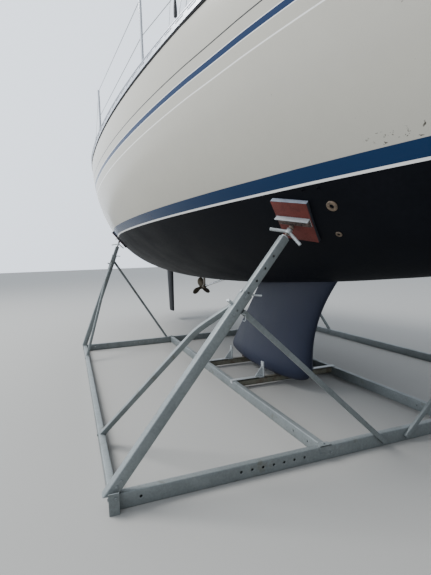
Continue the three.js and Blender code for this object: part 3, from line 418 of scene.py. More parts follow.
hull = piece("hull_shell", skin(stations), painted_hull, crisp=32)
hull.data.materials.append(bare_gel)
hull.data.materials.append(antifouling)
for face in hull.data.polygons:
    corners, at = [hull.data.vertices[i].co for i in face.vertices], face.center
    in_pocket = any(aft - 0.0002 < at.x < fore + 0.0002 for aft, fore, half, floor_z in POCKETS)
    if in_pocket and abs(at.y) < breadth(at.x, at.z) - 0.03:
        face.material_index = 1
    elif all(c.z < waterline(c.x) + 0.0004 for c in corners) and face.area < 0.5:
        face.material_index = 2
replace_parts(hull, "hull")

# The keel: a cast fin bolted up under the hull, sweeping aft at its foot and swelling there into a flat bulb. It is
# faired and painted dark blue-grey.
KEEL_FORE, KEEL_FORE_SWEEP, KEEL_AFT, KEEL_AFT_SWEEP, KEEL_FOOT, KEEL_HEAD = 1.508, 0.612, -0.64, 1.27, 0.098, 1.33
KEEL_RINGS = [  # share of its height, half thickness, rounding at both ends
    (0, 0.100, 0.190), (0.025, 0.172, 0.080), (0.07, 0.205, 0.020), (0.14, 0.208, 0.0), (0.24, 0.184, 0.0),
    (0.38, 0.150, 0.0), (0.56, 0.126, 0.0), (0.78, 0.112, 0.0), (1, 0.105, 0.0),
]


# Smooth values between a table's rows, by Hermite spans over its first column.
def eased(table, s, column):
    i = max(k for k, row in enumerate(table[:-1]) if row[0] <= s or k == 0)

    def slope(k):
        over, under = table[min(k + 1, len(table) - 1)], table[max(k - 1, 0)]
        return (over[column] - under[column]) / (over[0] - under[0])

    span = table[i + 1][0] - table[i][0]
    t = (s - table[i][0]) / span
    return ((2 * t ** 3 - 3 * t ** 2 + 1) * table[i][column] + (t ** 3 - 2 * t ** 2 + t) * span * slope(i)
            + (3 * t ** 2 - 2 * t ** 3) * table[i + 1][column] + (t ** 3 - t ** 2) * span * slope(i + 1))


def foil(fore, aft, half, z, count=26):
    port = []
    for s in spread(0, 1, count):
        u = s * s
        thick = half * 4.5 * (0.53 * math.sqrt(u) - 0.1 * u - 0.42 * u * u)
        port.append((fore + (aft - fore) * u, max(thick, 0.0015), z))
    return port + [(x, -y, z) for x, y, z in reversed(port)]


rings = []
for s in [0, 0.006, 0.014, 0.025, 0.038, 0.052] + spread(0.07, 1, 44):
    inset = max(eased(KEEL_RINGS, s, 2), 0)
    rings.append(foil(KEEL_FORE + KEEL_FORE_SWEEP * s ** 2.37 - inset, KEEL_AFT + KEEL_AFT_SWEEP * s + inset,
                      eased(KEEL_RINGS, s, 1), KEEL_FOOT + (KEEL_HEAD - KEEL_FOOT) * s))
keel_paint = finish("keel_paint", "keel_paint", (0.0115, 0.015, 0.030), (0.0185, 0.0235, 0.045), bump=0.0005,
                    specular=0.3, grain=46.0, contrast=2.2, rough=(0.5, 0.66))
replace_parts(piece("keel_fin", skin(rings), keel_paint, crisp=40), "keel")

# The rudder: a balanced spade blade, moulded in two glass-fibre halves over its stock and rolled with the bottom's
# black paint. It hangs on the stock and turns just under the counter.
RUDDER_X, RUDDER_FOOT, BALANCE = -4.33, 0.24, 0.22
TOP_CHORD, FOOT_CHORD, TOP_HALF, FOOT_HALF = 0.56, 0.42, 0.05, 0.032
rudder_head = hull_bottom(RUDDER_X + BALANCE * TOP_CHORD + 0.06) - 0.014
rings = []
for s in [0, 0.004, 0.012, 0.03] + spread(0.06, 0.97, 14) + [0.988, 1]:
    chord = FOOT_CHORD + (TOP_CHORD - FOOT_CHORD) * s
    inset = 0.012 * (1 - min(s, 0.03) / 0.03) ** 2 + 0.008 * max(s - 0.97, 0) / 0.03
    fore = RUDDER_X + BALANCE * chord - inset
    half = (FOOT_HALF + (TOP_HALF - FOOT_HALF) * s) * (1 - 14 * inset)
    rings.append(foil(fore, fore - chord + 2 * inset, half, RUDDER_FOOT + (rudder_head - RUDDER_FOOT) * s, 16))
rudder_paint = finish("rudder_paint", "bottom_paint", (0.0032, 0.0038, 0.0055), (0.007, 0.008, 0.010), bump=0.0005,
                      specular=0.12, patches=4.0, grain=50.0, rough=(0.42, 0.6))
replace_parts(piece("rudder_blade", skin(rings), rudder_paint, "rudder", crisp=40), "rudder")

# The cradle's base: galvanised box tubes, 100 by 50 mm, bolted into a frame that lies on the ground. Each side rail
# carries an end plate, and both cross beams have rows of holes for setting the cradle's width.
BEAM_FORE, BEAM_AFT, SIDE_FORE, SIDE_AFT, SIDE_Y, INNER_Y = 2.68, -1.85, 2.74, -1.92, 2.125, 0.65
TUBE_H, TUBE_W, TUBE_MID = 0.1, 0.05, 0.05
PLATE_WIDE, PLATE_HIGH, PLATE_THICK = 0.062, 0.13, 0.008
WIDTH_HOLES = [-1.312 + 0.08 * k for k in range(7)] + [-1.965]
UP, AHEAD, ABEAM = (0, 0, 1), (1, 0, 0), (0, 1, 0)
SIDES = (("port", 1), ("starboard", -1))
bolts = []  # place, way that the head faces, way that its flat lies


def circle(count):
    return [(math.cos(2 * math.pi * k / count), math.sin(2 * math.pi * k / count)) for k in range(count)]


# A turned shape about any axis: a profile of radius and distance along the axis from a place.
def spun(place, axis, profile, sides=24):
    axis = Vector(axis).normalized()
    x = axis.orthogonal().normalized()
    y = axis.cross(x)
    return skin([[Vector(place) + axis * distance + (x * c + y * s) * radius for c, s in circle(sides)]
                 for radius, distance in profile])


def disc(centre, axis, radius, length, sides=20):
    return spun(centre, axis, [(radius, -length / 2), (radius, length / 2)], sides)


def slab(one, other):
    xs, ys, zs = (sorted(pair) for pair in zip(one, other))
    return ([Vector((x, y, z)) for x in xs for y in ys for z in zs],
            [(0, 1, 3, 2), (4, 6, 7, 5), (0, 4, 5, 1), (2, 3, 7, 6), (0, 2, 6, 4), (1, 5, 7, 3)])


def rounded(wide, deep, corner):
    x, y, out = wide / 2 - corner, deep / 2 - corner, []
    for i, (cx, cy) in enumerate(((1, 1), (-1, 1), (-1, -1), (1, -1))):
        turns = (math.radians(90 * i + 30 * k) for k in range(4))
        out += [(cx * x + corner * math.cos(a), cy * y + corner * math.sin(a)) for a in turns]
    return out


# A box tube from one point to another; "across" is the way its width lies.
def box_tube(start, end, wide, deep, wall=0.005, across=UP, corner=0.007):
    a, b = Vector(start), Vector(end)
    along = (b - a).normalized()
    x = (Vector(across) - along * along.dot(Vector(across))).normalized()
    y = along.cross(x)
    ring = lambda at, w, d, c: [at + x * u + y * v for u, v in rounded(w, d, c)]
    outer, inner = (wide, deep, corner), (wide - 2 * wall, deep - 2 * wall, max(corner - wall, 0.002))
    return skin([ring(a, *outer), ring(b, *outer), ring(b, *inner), ring(a, *inner)], loop=True)


# Zinc's crystals over a shade, and stains over both.
crystalline, given = effect("zinc_crystals", {
    "Shade": (0.5, 0.5, 0.5, 1), "Stain": (0.2, 0.2, 0.2, 1), "Stain From": 0.6, "Stain To": 0.7}, {"Color": "Color"})
place = on_piece(crystalline)
crystals = step(crystalline, "ShaderNodeTexVoronoi", {"Vector": place, "Scale": 70.0}).outputs["Distance"]
bright = over_paint(crystalline, 1.0, given["Shade"], ranged(crystalline, crystals, 0.0, 1.0, 0.93, 1.05),
                    blend_type="MULTIPLY")
mask = ranged(crystalline, mottled(crystalline, place, 9.0, 8.0, 0.65), given["Stain From"], given["Stain To"])
step(crystalline, "NodeGroupOutput", {"Color": over_paint(crystalline, mask, bright, given["Stain"])})


def galvanising(name, light, dark, stain, amount):
    made, tree, shader = blank_finish(name, metallic=0.35)
    surface = weathered(tree, light, dark, patches=5.0, grain=60.0, contrast=2.4, rough=(0.42, 0.62))
    coat = step(tree, "ShaderNodeGroup", {
        "Shade": surface["Color"], "Stain": (*stain, 1), "Stain From": 0.66 - 0.2 * amount,
        "Stain To": 0.76 - 0.1 * amount}, node_tree=crystalline)
    feed(shader, {"Base Color": coat.outputs["Color"], "Roughness": surface["Roughness"]})
    bumped(tree, shader, surface["Height"], 0.0005)
    return made


zinc = galvanising("zinc", (0.212, 0.234, 0.232), (0.132, 0.148, 0.148), (0.12, 0.12, 0.095), 0.4)
for name, side in SIDES:
    y, w = side * SIDE_Y, PLATE_WIDE / 2
    rail = box_tube((SIDE_AFT, y, TUBE_MID), (SIDE_FORE, y, TUBE_MID), TUBE_H, TUBE_W)
    plates = [slab((x, y - w, 0), (x + PLATE_THICK, y + w, PLATE_HIGH)) for x in (SIDE_FORE, SIDE_AFT - PLATE_THICK)]
    rail = piece(f"side_rail_tube_{name}", together(rail, *plates), zinc, rounding=0.0015, steps=1)
    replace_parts(rail, f"side_rail_{name}")
    for x in (BEAM_FORE - 0.07, BEAM_FORE + 0.02, BEAM_AFT + 0.07, BEAM_AFT - 0.02, 1.76, -1.01):
        bolts += [((x, y + way * TUBE_W / 2, 0.072), (0, way, 0), AHEAD) for way in (1, -1)]
    bolts += [((SIDE_FORE + PLATE_THICK, y - side * 0.01, 0.098), (1, 0, 0), UP),
              ((SIDE_AFT - PLATE_THICK, y - side * 0.01, 0.098), (-1, 0, 0), UP)]
    y, gap = side * INNER_Y, TUBE_W / 2 + HAIR
    holes = [disc((x, y, TUBE_MID), ABEAM, 0.008, 0.2, 14) for x in (2.5, 2.3, 0.55, 0.35, -1.3, -1.6)]
    beam = box_tube((BEAM_AFT + gap, y, TUBE_MID), (BEAM_FORE - gap, y, TUBE_MID), TUBE_H, TUBE_W)
    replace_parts(piece(f"inner_tube_{name}", beam, zinc, cuts=holes), f"inner_beam_{name}")
for name, x in (("fore", BEAM_FORE), ("aft", BEAM_AFT)):
    y, way = SIDE_Y - TUBE_W / 2 - HAIR, math.copysign(1, x)
    holes = [disc((x, side * at, 0.055), AHEAD, 0.0095, 0.2, 16) for at in WIDTH_HOLES for side in (1, -1)]
    beam = box_tube((x, -y, TUBE_MID), (x, y, TUBE_MID), TUBE_H, TUBE_W)
    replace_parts(piece(f"cross_tube_{name}", beam, zinc, cuts=holes), f"cross_beam_{name}")
    inner, outer, top = x - way * TUBE_W / 2, x + way * TUBE_W / 2, TUBE_H + 0.007
    clamps = []
    for side in (1, -1):
        clamps += [slab((inner, side * 0.61, TUBE_H + HAIR), (outer + way * 0.006, side * 0.705, top)),
                   slab((outer, side * 0.61, 0.062), (outer + way * 0.006, side * 0.705, top)),
                   disc((x, side * 0.658, TUBE_H + 0.011), UP, 0.0105, 0.009, 6)]
        bolts += [((outer, side * (INNER_Y + off), TUBE_MID), (way, 0, 0), UP) for off in (-0.04, 0.04)]
    piece(f"beam_clamps_{name}", together(*clamps), zinc, rounding=0.001, steps=1)

# The keel bearers: two rusty channels between the inner beams, with galvanised angle brackets held upright by
# gussets to keep the keel from sliding, and on each a block of dark hardwood that the keel stands on.
BEARER_X = {"fore": 1.01, "aft": 0.08}
GUSSET = ((0.296, 0.1063), (0.395, 0.1063), (0.296, 0.225))
rusty = galvanising("rusty_zinc", (0.23, 0.225, 0.175), (0.145, 0.14, 0.105), (0.125, 0.098, 0.066), 0.8)
# A lighter copy of the zinc for the small fittings: its extra lightness is painted light, standing for the light these
# parts catch.
zinc_with_painted_light = galvanising("zinc_with_painted_light", (0.46, 0.485, 0.485), (0.34, 0.36, 0.36), (0.24, 0.24, 0.21), 0.2)
grained, given = effect("wood_grain", {
    "Shade A": (1, 1, 1, 1), "Shade B": (0.5, 0.5, 0.5, 1), "Stretch": (1, 1, 1), "Scale": 1.0, "Detail": 5.0,
    "Unevenness": 0.5}, {"Color": "Color", "Height": "Float"})
drawn_out = step(grained, "ShaderNodeMapping", {"Vector": on_piece(grained), "Scale": given["Stretch"]}).outputs[0]
strands = mottled(grained, drawn_out, given["Scale"], given["Detail"], given["Unevenness"])
step(grained, "NodeGroupOutput", {
    "Color": over_paint(grained, strands, given["Shade A"], given["Shade B"]), "Height": strands})


def wooden(name, light, dark, roughness, stretch, scale, detail, unevenness, depth):
    made, tree, shader = blank_finish(name, roughness)
    wood = step(tree, "ShaderNodeGroup", {
        "Shade A": (*light, 1), "Shade B": (*dark, 1), "Stretch": stretch, "Scale": scale, "Detail": detail,
        "Unevenness": unevenness}, node_tree=grained).outputs
    feed(shader, {"Base Color": wood["Color"]})
    bumped(tree, shader, wood["Height"], depth)
    return made


timber = wooden("packing_timber", (0.052, 0.040, 0.030), (0.020, 0.016, 0.013), roughness=0.8,
                stretch=(60.0, 6.0, 60.0), scale=1.4, detail=5.0, unevenness=0.5, depth=0.002)
reach, over = INNER_Y - TUBE_W / 2 - HAIR, INNER_Y + TUBE_W / 2 + 0.0005
for name, x in BEARER_X.items():
    flanges = [slab((x - 0.03, -reach, z), (x + 0.03, reach, z + 0.007)) for z in (0.03, 0.085)]
    channel = together(slab((x + 0.024, -reach, 0.03), (x + 0.03, reach, 0.092)), *flanges)
    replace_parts(piece(f"keel_channel_{name}", channel, rusty, rounding=0.001, steps=1), f"keel_bearer_{name}")
    uprights = []
    for side in (1, -1):
        uprights += [slab((x - 0.03, side * y0, z0), (x + 0.03, side * y1, z1)) for y0, z0, y1, z1 in (
            (0.284, 0.1003, 0.296, 0.27), (0.284, 0.1003, over + 0.006, 0.1063), (over, 0.07, over + 0.006, 0.1063),
            (0.284, 0.0925, 0.35, 0.1003))]
        uprights.append(skin([[(x + d, side * y, z) for y, z in GUSSET] for d in (-0.004, 0.004)]))
    piece(f"keel_brackets_{name}", together(*uprights), zinc_with_painted_light, rounding=0.0015, steps=1)
    packing = slab((x - 0.06, -0.11, 0.0923), (x + 0.06, 0.11, 0.149))
    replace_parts(piece(f"packing_{name}", packing, timber, rounding=0.003), f"keel_block_{name}")

# The four legs: an outer tube hinged at the base and braced both ways, an inner tube pinned in it by holes at
# 100 mm, and a rusty jacking screw with welded handle arms that presses a wooden pad to the hull.
LEG, PROP, STAY = 0.072, 0.058, 0.025
PAD = {"long": 0.266, "high": 0.337, "thick": 0.034, "sunk": 0.014, "ahead": 0.038, "up": 0.017, "channel": 0.25,
       "flange": 0.036, "open": 0.056, "sheet": 0.006, "channel_up": 0.012, "lower_lip": 0.01}
HANDLE_ARM, HANDLE_TURN, HANDLE_LEAN = 0.125, 0.77, 0.36
BENT_WIDE, BENT_DEEP, BEND_AT, BEND = 0.04, 0.038, 0.72, 0.088
THREAD_PITCH, THREAD_LONG, THREAD_R = 0.004, 0.248, 0.012
BALL = [(0.011, 0), (0.017, 0.006), (0.0185, 0.013), (0.017, 0.02), (0.011, 0.026)]
FORE = {"x": BEAM_FORE, "rail_x": 1.8, "pad_z": 1.67, "turn": -0.48, "outer": 0.718, "cross_at": 0.66,
        "rail_at": 0.695}
AFT = {"x": BEAM_AFT, "rail_x": -1.05, "pad_z": 1.82, "turn": 0, "outer": 0.86, "cross_at": 0.8, "rail_at": 0.8}
CORNERS = [  # side, fitting out, distance of the cross stay's foot from the middle line
    ("fore_starboard", -1, FORE, 0.139), ("fore_port", 1, FORE, 0.062),
    ("aft_starboard", -1, AFT, 0.7), ("aft_port", 1, AFT, 0.7),
]
screw_rust = finish("screw_rust", "galvanised", (0.26, 0.22, 0.19), (0.13, 0.075, 0.045), metallic=0.3, patches=24.0,
                    grain=160.0, contrast=3.0, rough=(0.5, 0.75))
pad_paint = finish("pad_paint", "pad_paint", (0.150, 0.020, 0.013), (0.082, 0.015, 0.011), bump=0.0012, patches=13.0,
                   grain=90.0, contrast=3.0, rough=(0.6, 0.85))
# The pad board's sides carry painted light. Those facing up take a pale blue-grey that stands for sky light falling on
# them, and the others a near black that is painted shade; both are mottled alike.
PAD_SIDE_MOTTLE = {"bump": 0.001, "patches": 20.0, "grain": 120.0, "contrast": 2.4, "rough": (0.6, 0.85)}
pad_painted_light = finish("pad_painted_light", "pad_paint", (0.24, 0.27, 0.32), (0.13, 0.14, 0.17), **PAD_SIDE_MOTTLE)
pad_painted_shade = finish("pad_painted_shade", "pad_paint", (0.030, 0.034, 0.046), (0.012, 0.013, 0.018), **PAD_SIDE_MOTTLE)
# Dark flaked paint over rust for the pad channel's web and lower lip: partly the real flaking, and partly painted
# shade where these faces lie in shadow under the upper flange.
flaked_and_shaded = finish("flaked_paint_and_painted_shade", "pad_paint", (0.115, 0.075, 0.062), (0.018, 0.010, 0.009), bump=0.0015, patches=34.0,
                grain=120.0, contrast=4.5, rough=(0.6, 0.9))


# Round bars, tubes and wires: each run is its points and its radius, drawn as one bent bar with capped ends.
def rods(name, runs, coat, body="yacht", sides=2, closed=False):
    drawn = bpy.data.curves.new(name, "CURVE")
    drawn.dimensions, drawn.fill_mode, drawn.use_fill_caps = "3D", "FULL", True
    drawn.bevel_depth, drawn.bevel_resolution = 1.0, sides
    for points, radius in runs:
        line = drawn.splines.new("POLY")
        line.points.add(len(points) - 1)
        line.use_cyclic_u = closed
        for dot, at in zip(line.points, points):
            dot.co, dot.radius = (*at, 1), radius
    return kept(name, settled(placed(name + "_line", drawn)), coat, body, crisp=40)


# Rounds the corners of a run of points.
def bent(points, radius, steps=5):
    at = [Vector(p) for p in points]
    out = [at[0]]
    for before, corner, after in zip(at, at[1:], at[2:]):
        back, on = (before - corner), (after - corner)
        reach = min(radius, back.length * 0.45, on.length * 0.45)
        start, end = corner + back.normalized() * reach, corner + on.normalized() * reach
        out += [start.lerp(corner, t).lerp(corner.lerp(end, t), t) for t in spread(0, 1, steps)]
    return out + [at[-1]]


for corner, side, fit, cross_y in CORNERS:
    x, pad_z = fit["x"], fit["pad_z"]
    way = math.copysign(1, x)
    normal = skin_normal(x, pad_z, side)
    on_hull = Vector((x, side * breadth(x, pad_z), pad_z))
    foot = Vector((x, side * SIDE_Y, TUBE_H + 0.02))
    back = on_hull + normal * (PAD["thick"] - PAD["sunk"] + HAIR)
    length, along = (back - foot).length, (back - foot).normalized()
    under = along.cross(Vector(AHEAD)) * -side
    on = lambda d: foot + along * d
    top, cross_at, rail_at = (fit[key] * length for key in ("outer", "cross_at", "rail_at"))

    cuts = [disc(on(top - d), AHEAD, 0.008, 0.2, 16) for d in (0.03, 0.13)]
    cuts.append(slab((x - 0.4, foot.y - 0.4, -0.4), (x + 0.4, foot.y + 0.4, TUBE_H + HAIR)))
    leg = piece(f"leg_tube_{corner}", box_tube(on(-0.09), on(top), LEG, LEG, 0.005, AHEAD, 0.009), zinc, cuts=cuts)
    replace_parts(leg, f"leg_{corner}")
    holes = [disc(on(length - d), AHEAD, 0.0085, 0.2, 16) for d in (0.258, 0.357, 0.457, 0.557)]
    inner = box_tube(on(top - 0.16), on(length - 0.104), PROP, PROP, 0.004, AHEAD, 0.007)
    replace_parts(piece(f"prop_tube_{corner}", inner, zinc, cuts=holes), f"prop_{corner}")
    handle = (-side * under + Vector((-HANDLE_TURN * side, 0, 0))).normalized()
    hub = on(length - 0.052)
    parts = [disc(hub, along, 0.021, 0.036, 6), disc(on(length - 0.1), along, 0.026, 0.01, 24)]
    for end in (1, -1):
        out = handle * (end * math.cos(HANDLE_LEAN)) - along * math.sin(HANDLE_LEAN)
        parts.append(box_tube(hub + out * 0.012, hub + out * HANDLE_ARM, 0.022, 0.022, 0.003, AHEAD, 0.0105))
    piece(f"screw_handle_{corner}", together(*parts), zinc_with_painted_light, rounding=0.001, steps=1)
    piece(f"jack_ball_{corner}", spun(on(length - 0.03), along, BALL, 18), screw_rust, crisp=50)
    ridges = [(THREAD_R * (1.0 if i % 2 else 0.86), d) for i, d in enumerate(
        spread(0, THREAD_LONG, round(2 * THREAD_LONG / THREAD_PITCH)))]
    piece(f"jack_screw_{corner}", spun(on(length - 0.25), along, ridges, 16), screw_rust)

    level = (Vector(AHEAD) - normal * normal.x).normalized()
    centre = on_hull + level * PAD["ahead"] + normal.cross(level) * (-side * PAD["up"])
    lie = Quaternion(normal, -side * fit["turn"]) @ level
    rise = normal.cross(lie)
    face = PAD["thick"] - PAD["sunk"]

    def pad_box(long, high, thick, up, out):
        points, faces = slab((-1, -1, -1), (1, 1, 1))
        spot = centre + rise * up + normal * out
        half = [lie * long / 2, rise * high / 2, normal * thick / 2]
        return [spot + half[0] * p.x + half[1] * p.y + half[2] * p.z for p in points], faces

    board = pad_box(PAD["long"], PAD["high"], PAD["thick"], 0, PAD["thick"] / 2 - PAD["sunk"])
    pad = piece(f"pad_board_{corner}", board, pad_paint, rounding=0.003)
    pad.data.materials.append(pad_painted_light)
    pad.data.materials.append(pad_painted_shade)
    # Sides facing up get the painted sky light, and the other sides the painted shade.
    for side_of in pad.data.polygons:
        if abs(side_of.normal.dot(normal)) < 0.6:
            side_of.material_index = 1 if side_of.normal.z > 0.4 else 2
    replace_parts(pad, f"pad_{corner}")
    web = pad_box(PAD["channel"], PAD["open"] + 2 * PAD["sheet"], 0.005, PAD["channel_up"], face + 0.003)
    lips = [pad_box(PAD["channel"], PAD["sheet"], deep, PAD["channel_up"] + up * (PAD["open"] + PAD["sheet"]) / 2,
                    face + deep / 2) for up, deep in ((1, PAD["flange"]), (-1, PAD["lower_lip"]))]
    channel = piece(f"pad_channel_{corner}", together(web, *lips), zinc_with_painted_light, rounding=0.0012, steps=1)
    channel.data.materials.append(flaked_and_shaded)
    # The web's outer face and the lower lip take the flaked paint, whose darkness is partly painted shade; the other
    # faces keep the lighter zinc.
    for side_of in channel.data.polygons:
        out = (side_of.center - on_hull).dot(normal)
        low = (side_of.center - centre).dot(rise) - PAD["channel_up"] < -PAD["open"] / 2 + 0.001
        side_of.material_index = int(low or (side_of.normal.dot(normal) > 0.9 and out < face + 0.02))

    cross_top = on(cross_at) + under * (LEG / 2 + HAIR)
    cross_top.x = x + way * (TUBE_W / 2 + HAIR + STAY / 2)
    cross = box_tube((cross_top.x, side * cross_y, 0.036), cross_top, STAY, 0.036, 0.003, AHEAD, 0.004)
    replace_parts(piece(f"cross_stay_{corner}", cross, zinc), f"cross_brace_{corner}")
    bolts.append((cross_top + Vector((way * STAY / 2, -side * 0.016, -0.022)), (way, 0, 0), UP))
    bolts += [(on(d) + Vector((face_way * LEG / 2, 0, 0)), (face_way, 0, 0), UP) for face_way in (1, -1)
              for d in (0.035, 0.075, cross_at - 0.05, rail_at + 0.03, top - 0.03)]
    lug = on(rail_at - 0.03 * length) + Vector((-0.026 * way, 0, 0)) - under * (LEG / 2 + 0.016)
    held = on(top - 0.008)
    pin_end = held + Vector((0.034 * way, -side * 0.098, -0.012))
    fittings = [disc(lug, under, 0.011, 0.04, 14), disc(lug - under * 0.012, AHEAD, 0.0085, 0.05, 6),
                disc(held.lerp(pin_end, 0.5), pin_end - held, 0.0062, (pin_end - held).length, 14),
                disc(held - under * (LEG / 2 + 0.004), under, 0.0095, 0.01, 14)]
    piece(f"leg_fittings_{corner}", together(*fittings), zinc_with_painted_light, rounding=0.001, steps=1)
    clip = [cross_top + Vector((way * 0.016, -side * u, v)) for u, v in (
        (-0.012, -0.012), (0.008, -0.014), (0.012, -0.04), (0.004, -0.062), (-0.01, -0.054))]
    rods(f"spring_clip_{corner}", [(bent(clip, 0.008), 0.0028)], zinc_with_painted_light)

    low, head = Vector((fit["rail_x"], foot.y, TUBE_H - 0.012)), on(rail_at)
    bend = low.lerp(head, BEND_AT) + Vector((0, 0, BEND))
    sweep = [low, low.lerp(bend, 0.9)]
    for t in (0.25, 0.5, 0.75, 1):
        sweep.append(low.lerp(bend, 0.9 + 0.1 * (1 - (1 - t) ** 2)).lerp(bend.lerp(head, 0.28 * t * t), t))
    sweep.append(head)
    rings = []
    for i, p in enumerate(sweep):
        run = (sweep[min(i + 1, len(sweep) - 1)] - sweep[max(i - 1, 0)]).normalized()
        u = (Vector(AHEAD) - run * run.x).normalized()
        v = run.cross(u)
        rings.append([p + u * a + v * b for a, b in rounded(BENT_WIDE, BENT_DEEP, 0.004)])
    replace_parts(piece(f"rail_stay_{corner}", skin(rings), zinc), f"rail_brace_{corner}")

# The cradle's bolts: hexagon heads on washers. Each row of like fittings is set out by one node tree: a copy at each
# place, its upright along "face" and its length along "lie".
rows = bpy.data.node_groups.new("set_in_rows", "GeometryNodeTree")
rows.is_modifier = True
for label, kind in (("Places", "Geometry"), ("Fitting", "Object"), ("Size", "Float"), ("Finish", "Material")):
    rows.interface.new_socket(label, in_out="INPUT", socket_type="NodeSocket" + kind)
rows.interface.new_socket("Row", in_out="OUTPUT", socket_type="NodeSocketGeometry")
given = step(rows, "NodeGroupInput").outputs
face, lie = (step(rows, "GeometryNodeInputNamedAttribute", {"Name": way}, data_type="FLOAT_VECTOR")
             for way in ("face", "lie"))
turn = step(rows, "FunctionNodeAxesToRotation", {
    "Primary Axis": face.outputs["Attribute"], "Secondary Axis": lie.outputs["Attribute"]}, primary_axis="Z",
    secondary_axis="X")
fitting = step(rows, "GeometryNodeObjectInfo", {"Object": given["Fitting"], "As Instance": True})
copies = step(rows, "GeometryNodeInstanceOnPoints", {
    "Points": given["Places"], "Instance": fitting.outputs["Geometry"], "Rotation": turn.outputs["Rotation"]})
sized = step(rows, "GeometryNodeScaleInstances", {"Instances": copies.outputs["Instances"], "Scale": given["Size"]})
real = step(rows, "GeometryNodeRealizeInstances", {"Geometry": sized.outputs["Instances"]})
done = step(rows, "GeometryNodeSetMaterial", {"Geometry": real.outputs["Geometry"], "Material": given["Finish"]})
step(rows, "NodeGroupOutput", {"Row": done.outputs["Geometry"]})


def set_in_rows(name, fitting, places, coat, body="yacht", size=1.0):
    template = blank(name + "_one", fitting)
    dots = bpy.data.meshes.new(name + "_places")
    dots.from_pydata([tuple(place[0]) for place in places], [], [])
    for column, key in enumerate(("face", "lie"), 1):
        dots.attributes.new(key, "FLOAT_VECTOR", "POINT").data.foreach_set(
            "vector", [v for place in places for v in place[column]])
    row = placed(name + "_row", dots)
    setting = row.modifiers.new("rows", "NODES")
    setting.node_group = rows
    sockets = {item.name: item.identifier for item in rows.interface.items_tree if item.in_out == "INPUT"}
    for label, value in (("Fitting", template), ("Size", size), ("Finish", coat)):
        setting[sockets[label]] = value
    return kept(name, settled(row, template), coat, body)


washer, hexagon = [(0.0135, 0), (0.0135, 0.0018)], [(0.0098, 0.0018), (0.0098, 0.0078), (0.0088, 0.009)]
set_in_rows("cradle_bolts", together(spun((0, 0, 0), UP, washer, 18), spun((0, 0, 0), UP, hexagon, 6)), bolts, zinc)

# The toe rails: slotted aluminium extrusions screwed down along both deck edges, lapping over the joint of deck and
# hull, with a bead of black sealant under them.
anodised = finish("anodised", "anodised", (0.60, 0.62, 0.66), (0.50, 0.52, 0.55), metallic=0.85, bump=0.0001,
                  patches=8.0, rough=(0.26, 0.42))
sealant = finish("sealant", "anodised", (0.006, 0.006, 0.007), (0.012, 0.012, 0.013), bump=0.0003, specular=0.15,
                 rough=(0.6, 0.8))
RAIL_PITCH, RAIL_TALL, RAIL_THICK = 0.15, 0.058, 0.006
SLOT_LONG, SLOT_HIGH, SLOT_Z = 0.104, 0.014, 0.034


# One pitch of the rail: a plate with a round-ended slot, a lip along its top and a foot along its bottom.
def rail_cell():
    half, thick, r = RAIL_PITCH / 2 + 0.0008, RAIL_THICK / 2, SLOT_HIGH / 2
    heights = (0, SLOT_Z - 0.006, SLOT_Z, SLOT_Z + 0.006, RAIL_TALL)
    outline = [(half, y) for y in heights] + [(-half, y) for y in reversed(heights)]
    for k in range(10):
        a = math.radians(45 * k - (90 if k < 5 else 135))
        outline.append(((1 if k < 5 else -1) * (SLOT_LONG / 2 - r) + r * math.cos(a), SLOT_Z + r * math.sin(a)))
    faces = []
    for k in range(10):
        m = (k + 1) % 10
        faces += [(k, m, 10 + m, 10 + k), (20 + m, 20 + k, 30 + k, 30 + m), (10 + k, 10 + m, 30 + m, 30 + k)]
        if k in (4, 9):
            faces.append((m, k, 20 + k, 20 + m))
    return together(([Vector((x, y, z)) for z in (-thick, thick) for x, y in outline], faces),
                    slab((-half, RAIL_TALL - 0.006, thick), (half, RAIL_TALL, thick + 0.0035)),
                    slab((-half, 0.0, thick), (half, 0.009, thick + 0.003)))


for name, side in SIDES:
    places, x = [], STERN_X + 0.41
    while x < 5.33:
        on_edge = lambda at: Vector((at, side * (edge_y(at) + 0.0005), hull_top(at)))
        way = (on_edge(x + 0.01) - on_edge(x - 0.01)).normalized()
        out = way.cross(Vector((0, 0, side))).normalized() * -1
        places.append((on_edge(x) + Vector((0, 0, 0.002)), out, way if side < 0 else -way))
        x += RAIL_PITCH * way.x
    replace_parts(set_in_rows(f"slotted_rail_{name}", rail_cell(), places, anodised), f"toe_rail_{name}")
    rings = []
    for x in spread(STERN_X + 0.33, 5.38, 90):
        low, high = hull_top(x) - 0.017, hull_top(x) + 0.003
        rings.append([(x, side * (breadth(x, z) + d), z) for z, d in (
            (low, -0.004), (low, 0.001), (low + 0.005, 0.0035), (high, 0.0035), (high, -0.004))])
    piece(f"sealant_{name}", skin(rings), sealant, crisp=60)

# The deck: a glass-fibre moulding with the coachroof in one piece with it, bonded down along both edges. The roof is
# hollow, with a window hole in each side and the companionway in its aft end; grit is rolled on where people walk.
ROOF_FORE, ROOF_AFT, ROOF_FORE_HALF, ROOF_AFT_HALF = 2.6, -2.0, 0.62, 1.02
ROOF_LEAN, ROOF_WALL, CAMBER = 0.09, 0.03, 0.06
ROOF_AFT_Z, ROOF_FORE_Z = hull_top(ROOF_AFT) + 0.48, hull_top(ROOF_FORE) + 0.21
SLIDE_X, SLIDE_LONG, SLIDE_WIDE, SLIDE_THICK, HATCHWAY_HALF = -1.64, 0.70, 0.66, 0.03, 0.28
LID_X, LID_HALF, LID_THICK, LID_HOLE = 3.06, 0.27, 0.028, 0.21
LID_Z = hull_top(LID_X) + HAIR + DECK_EDGE + 0.115
SILL_Z = hull_top(ROOF_AFT) + 0.13
WINDOW = {"fore": 1.5, "aft": -1.5, "low": 0.115, "high": 0.29, "fore_r": 0.022, "aft_r": 0.05}
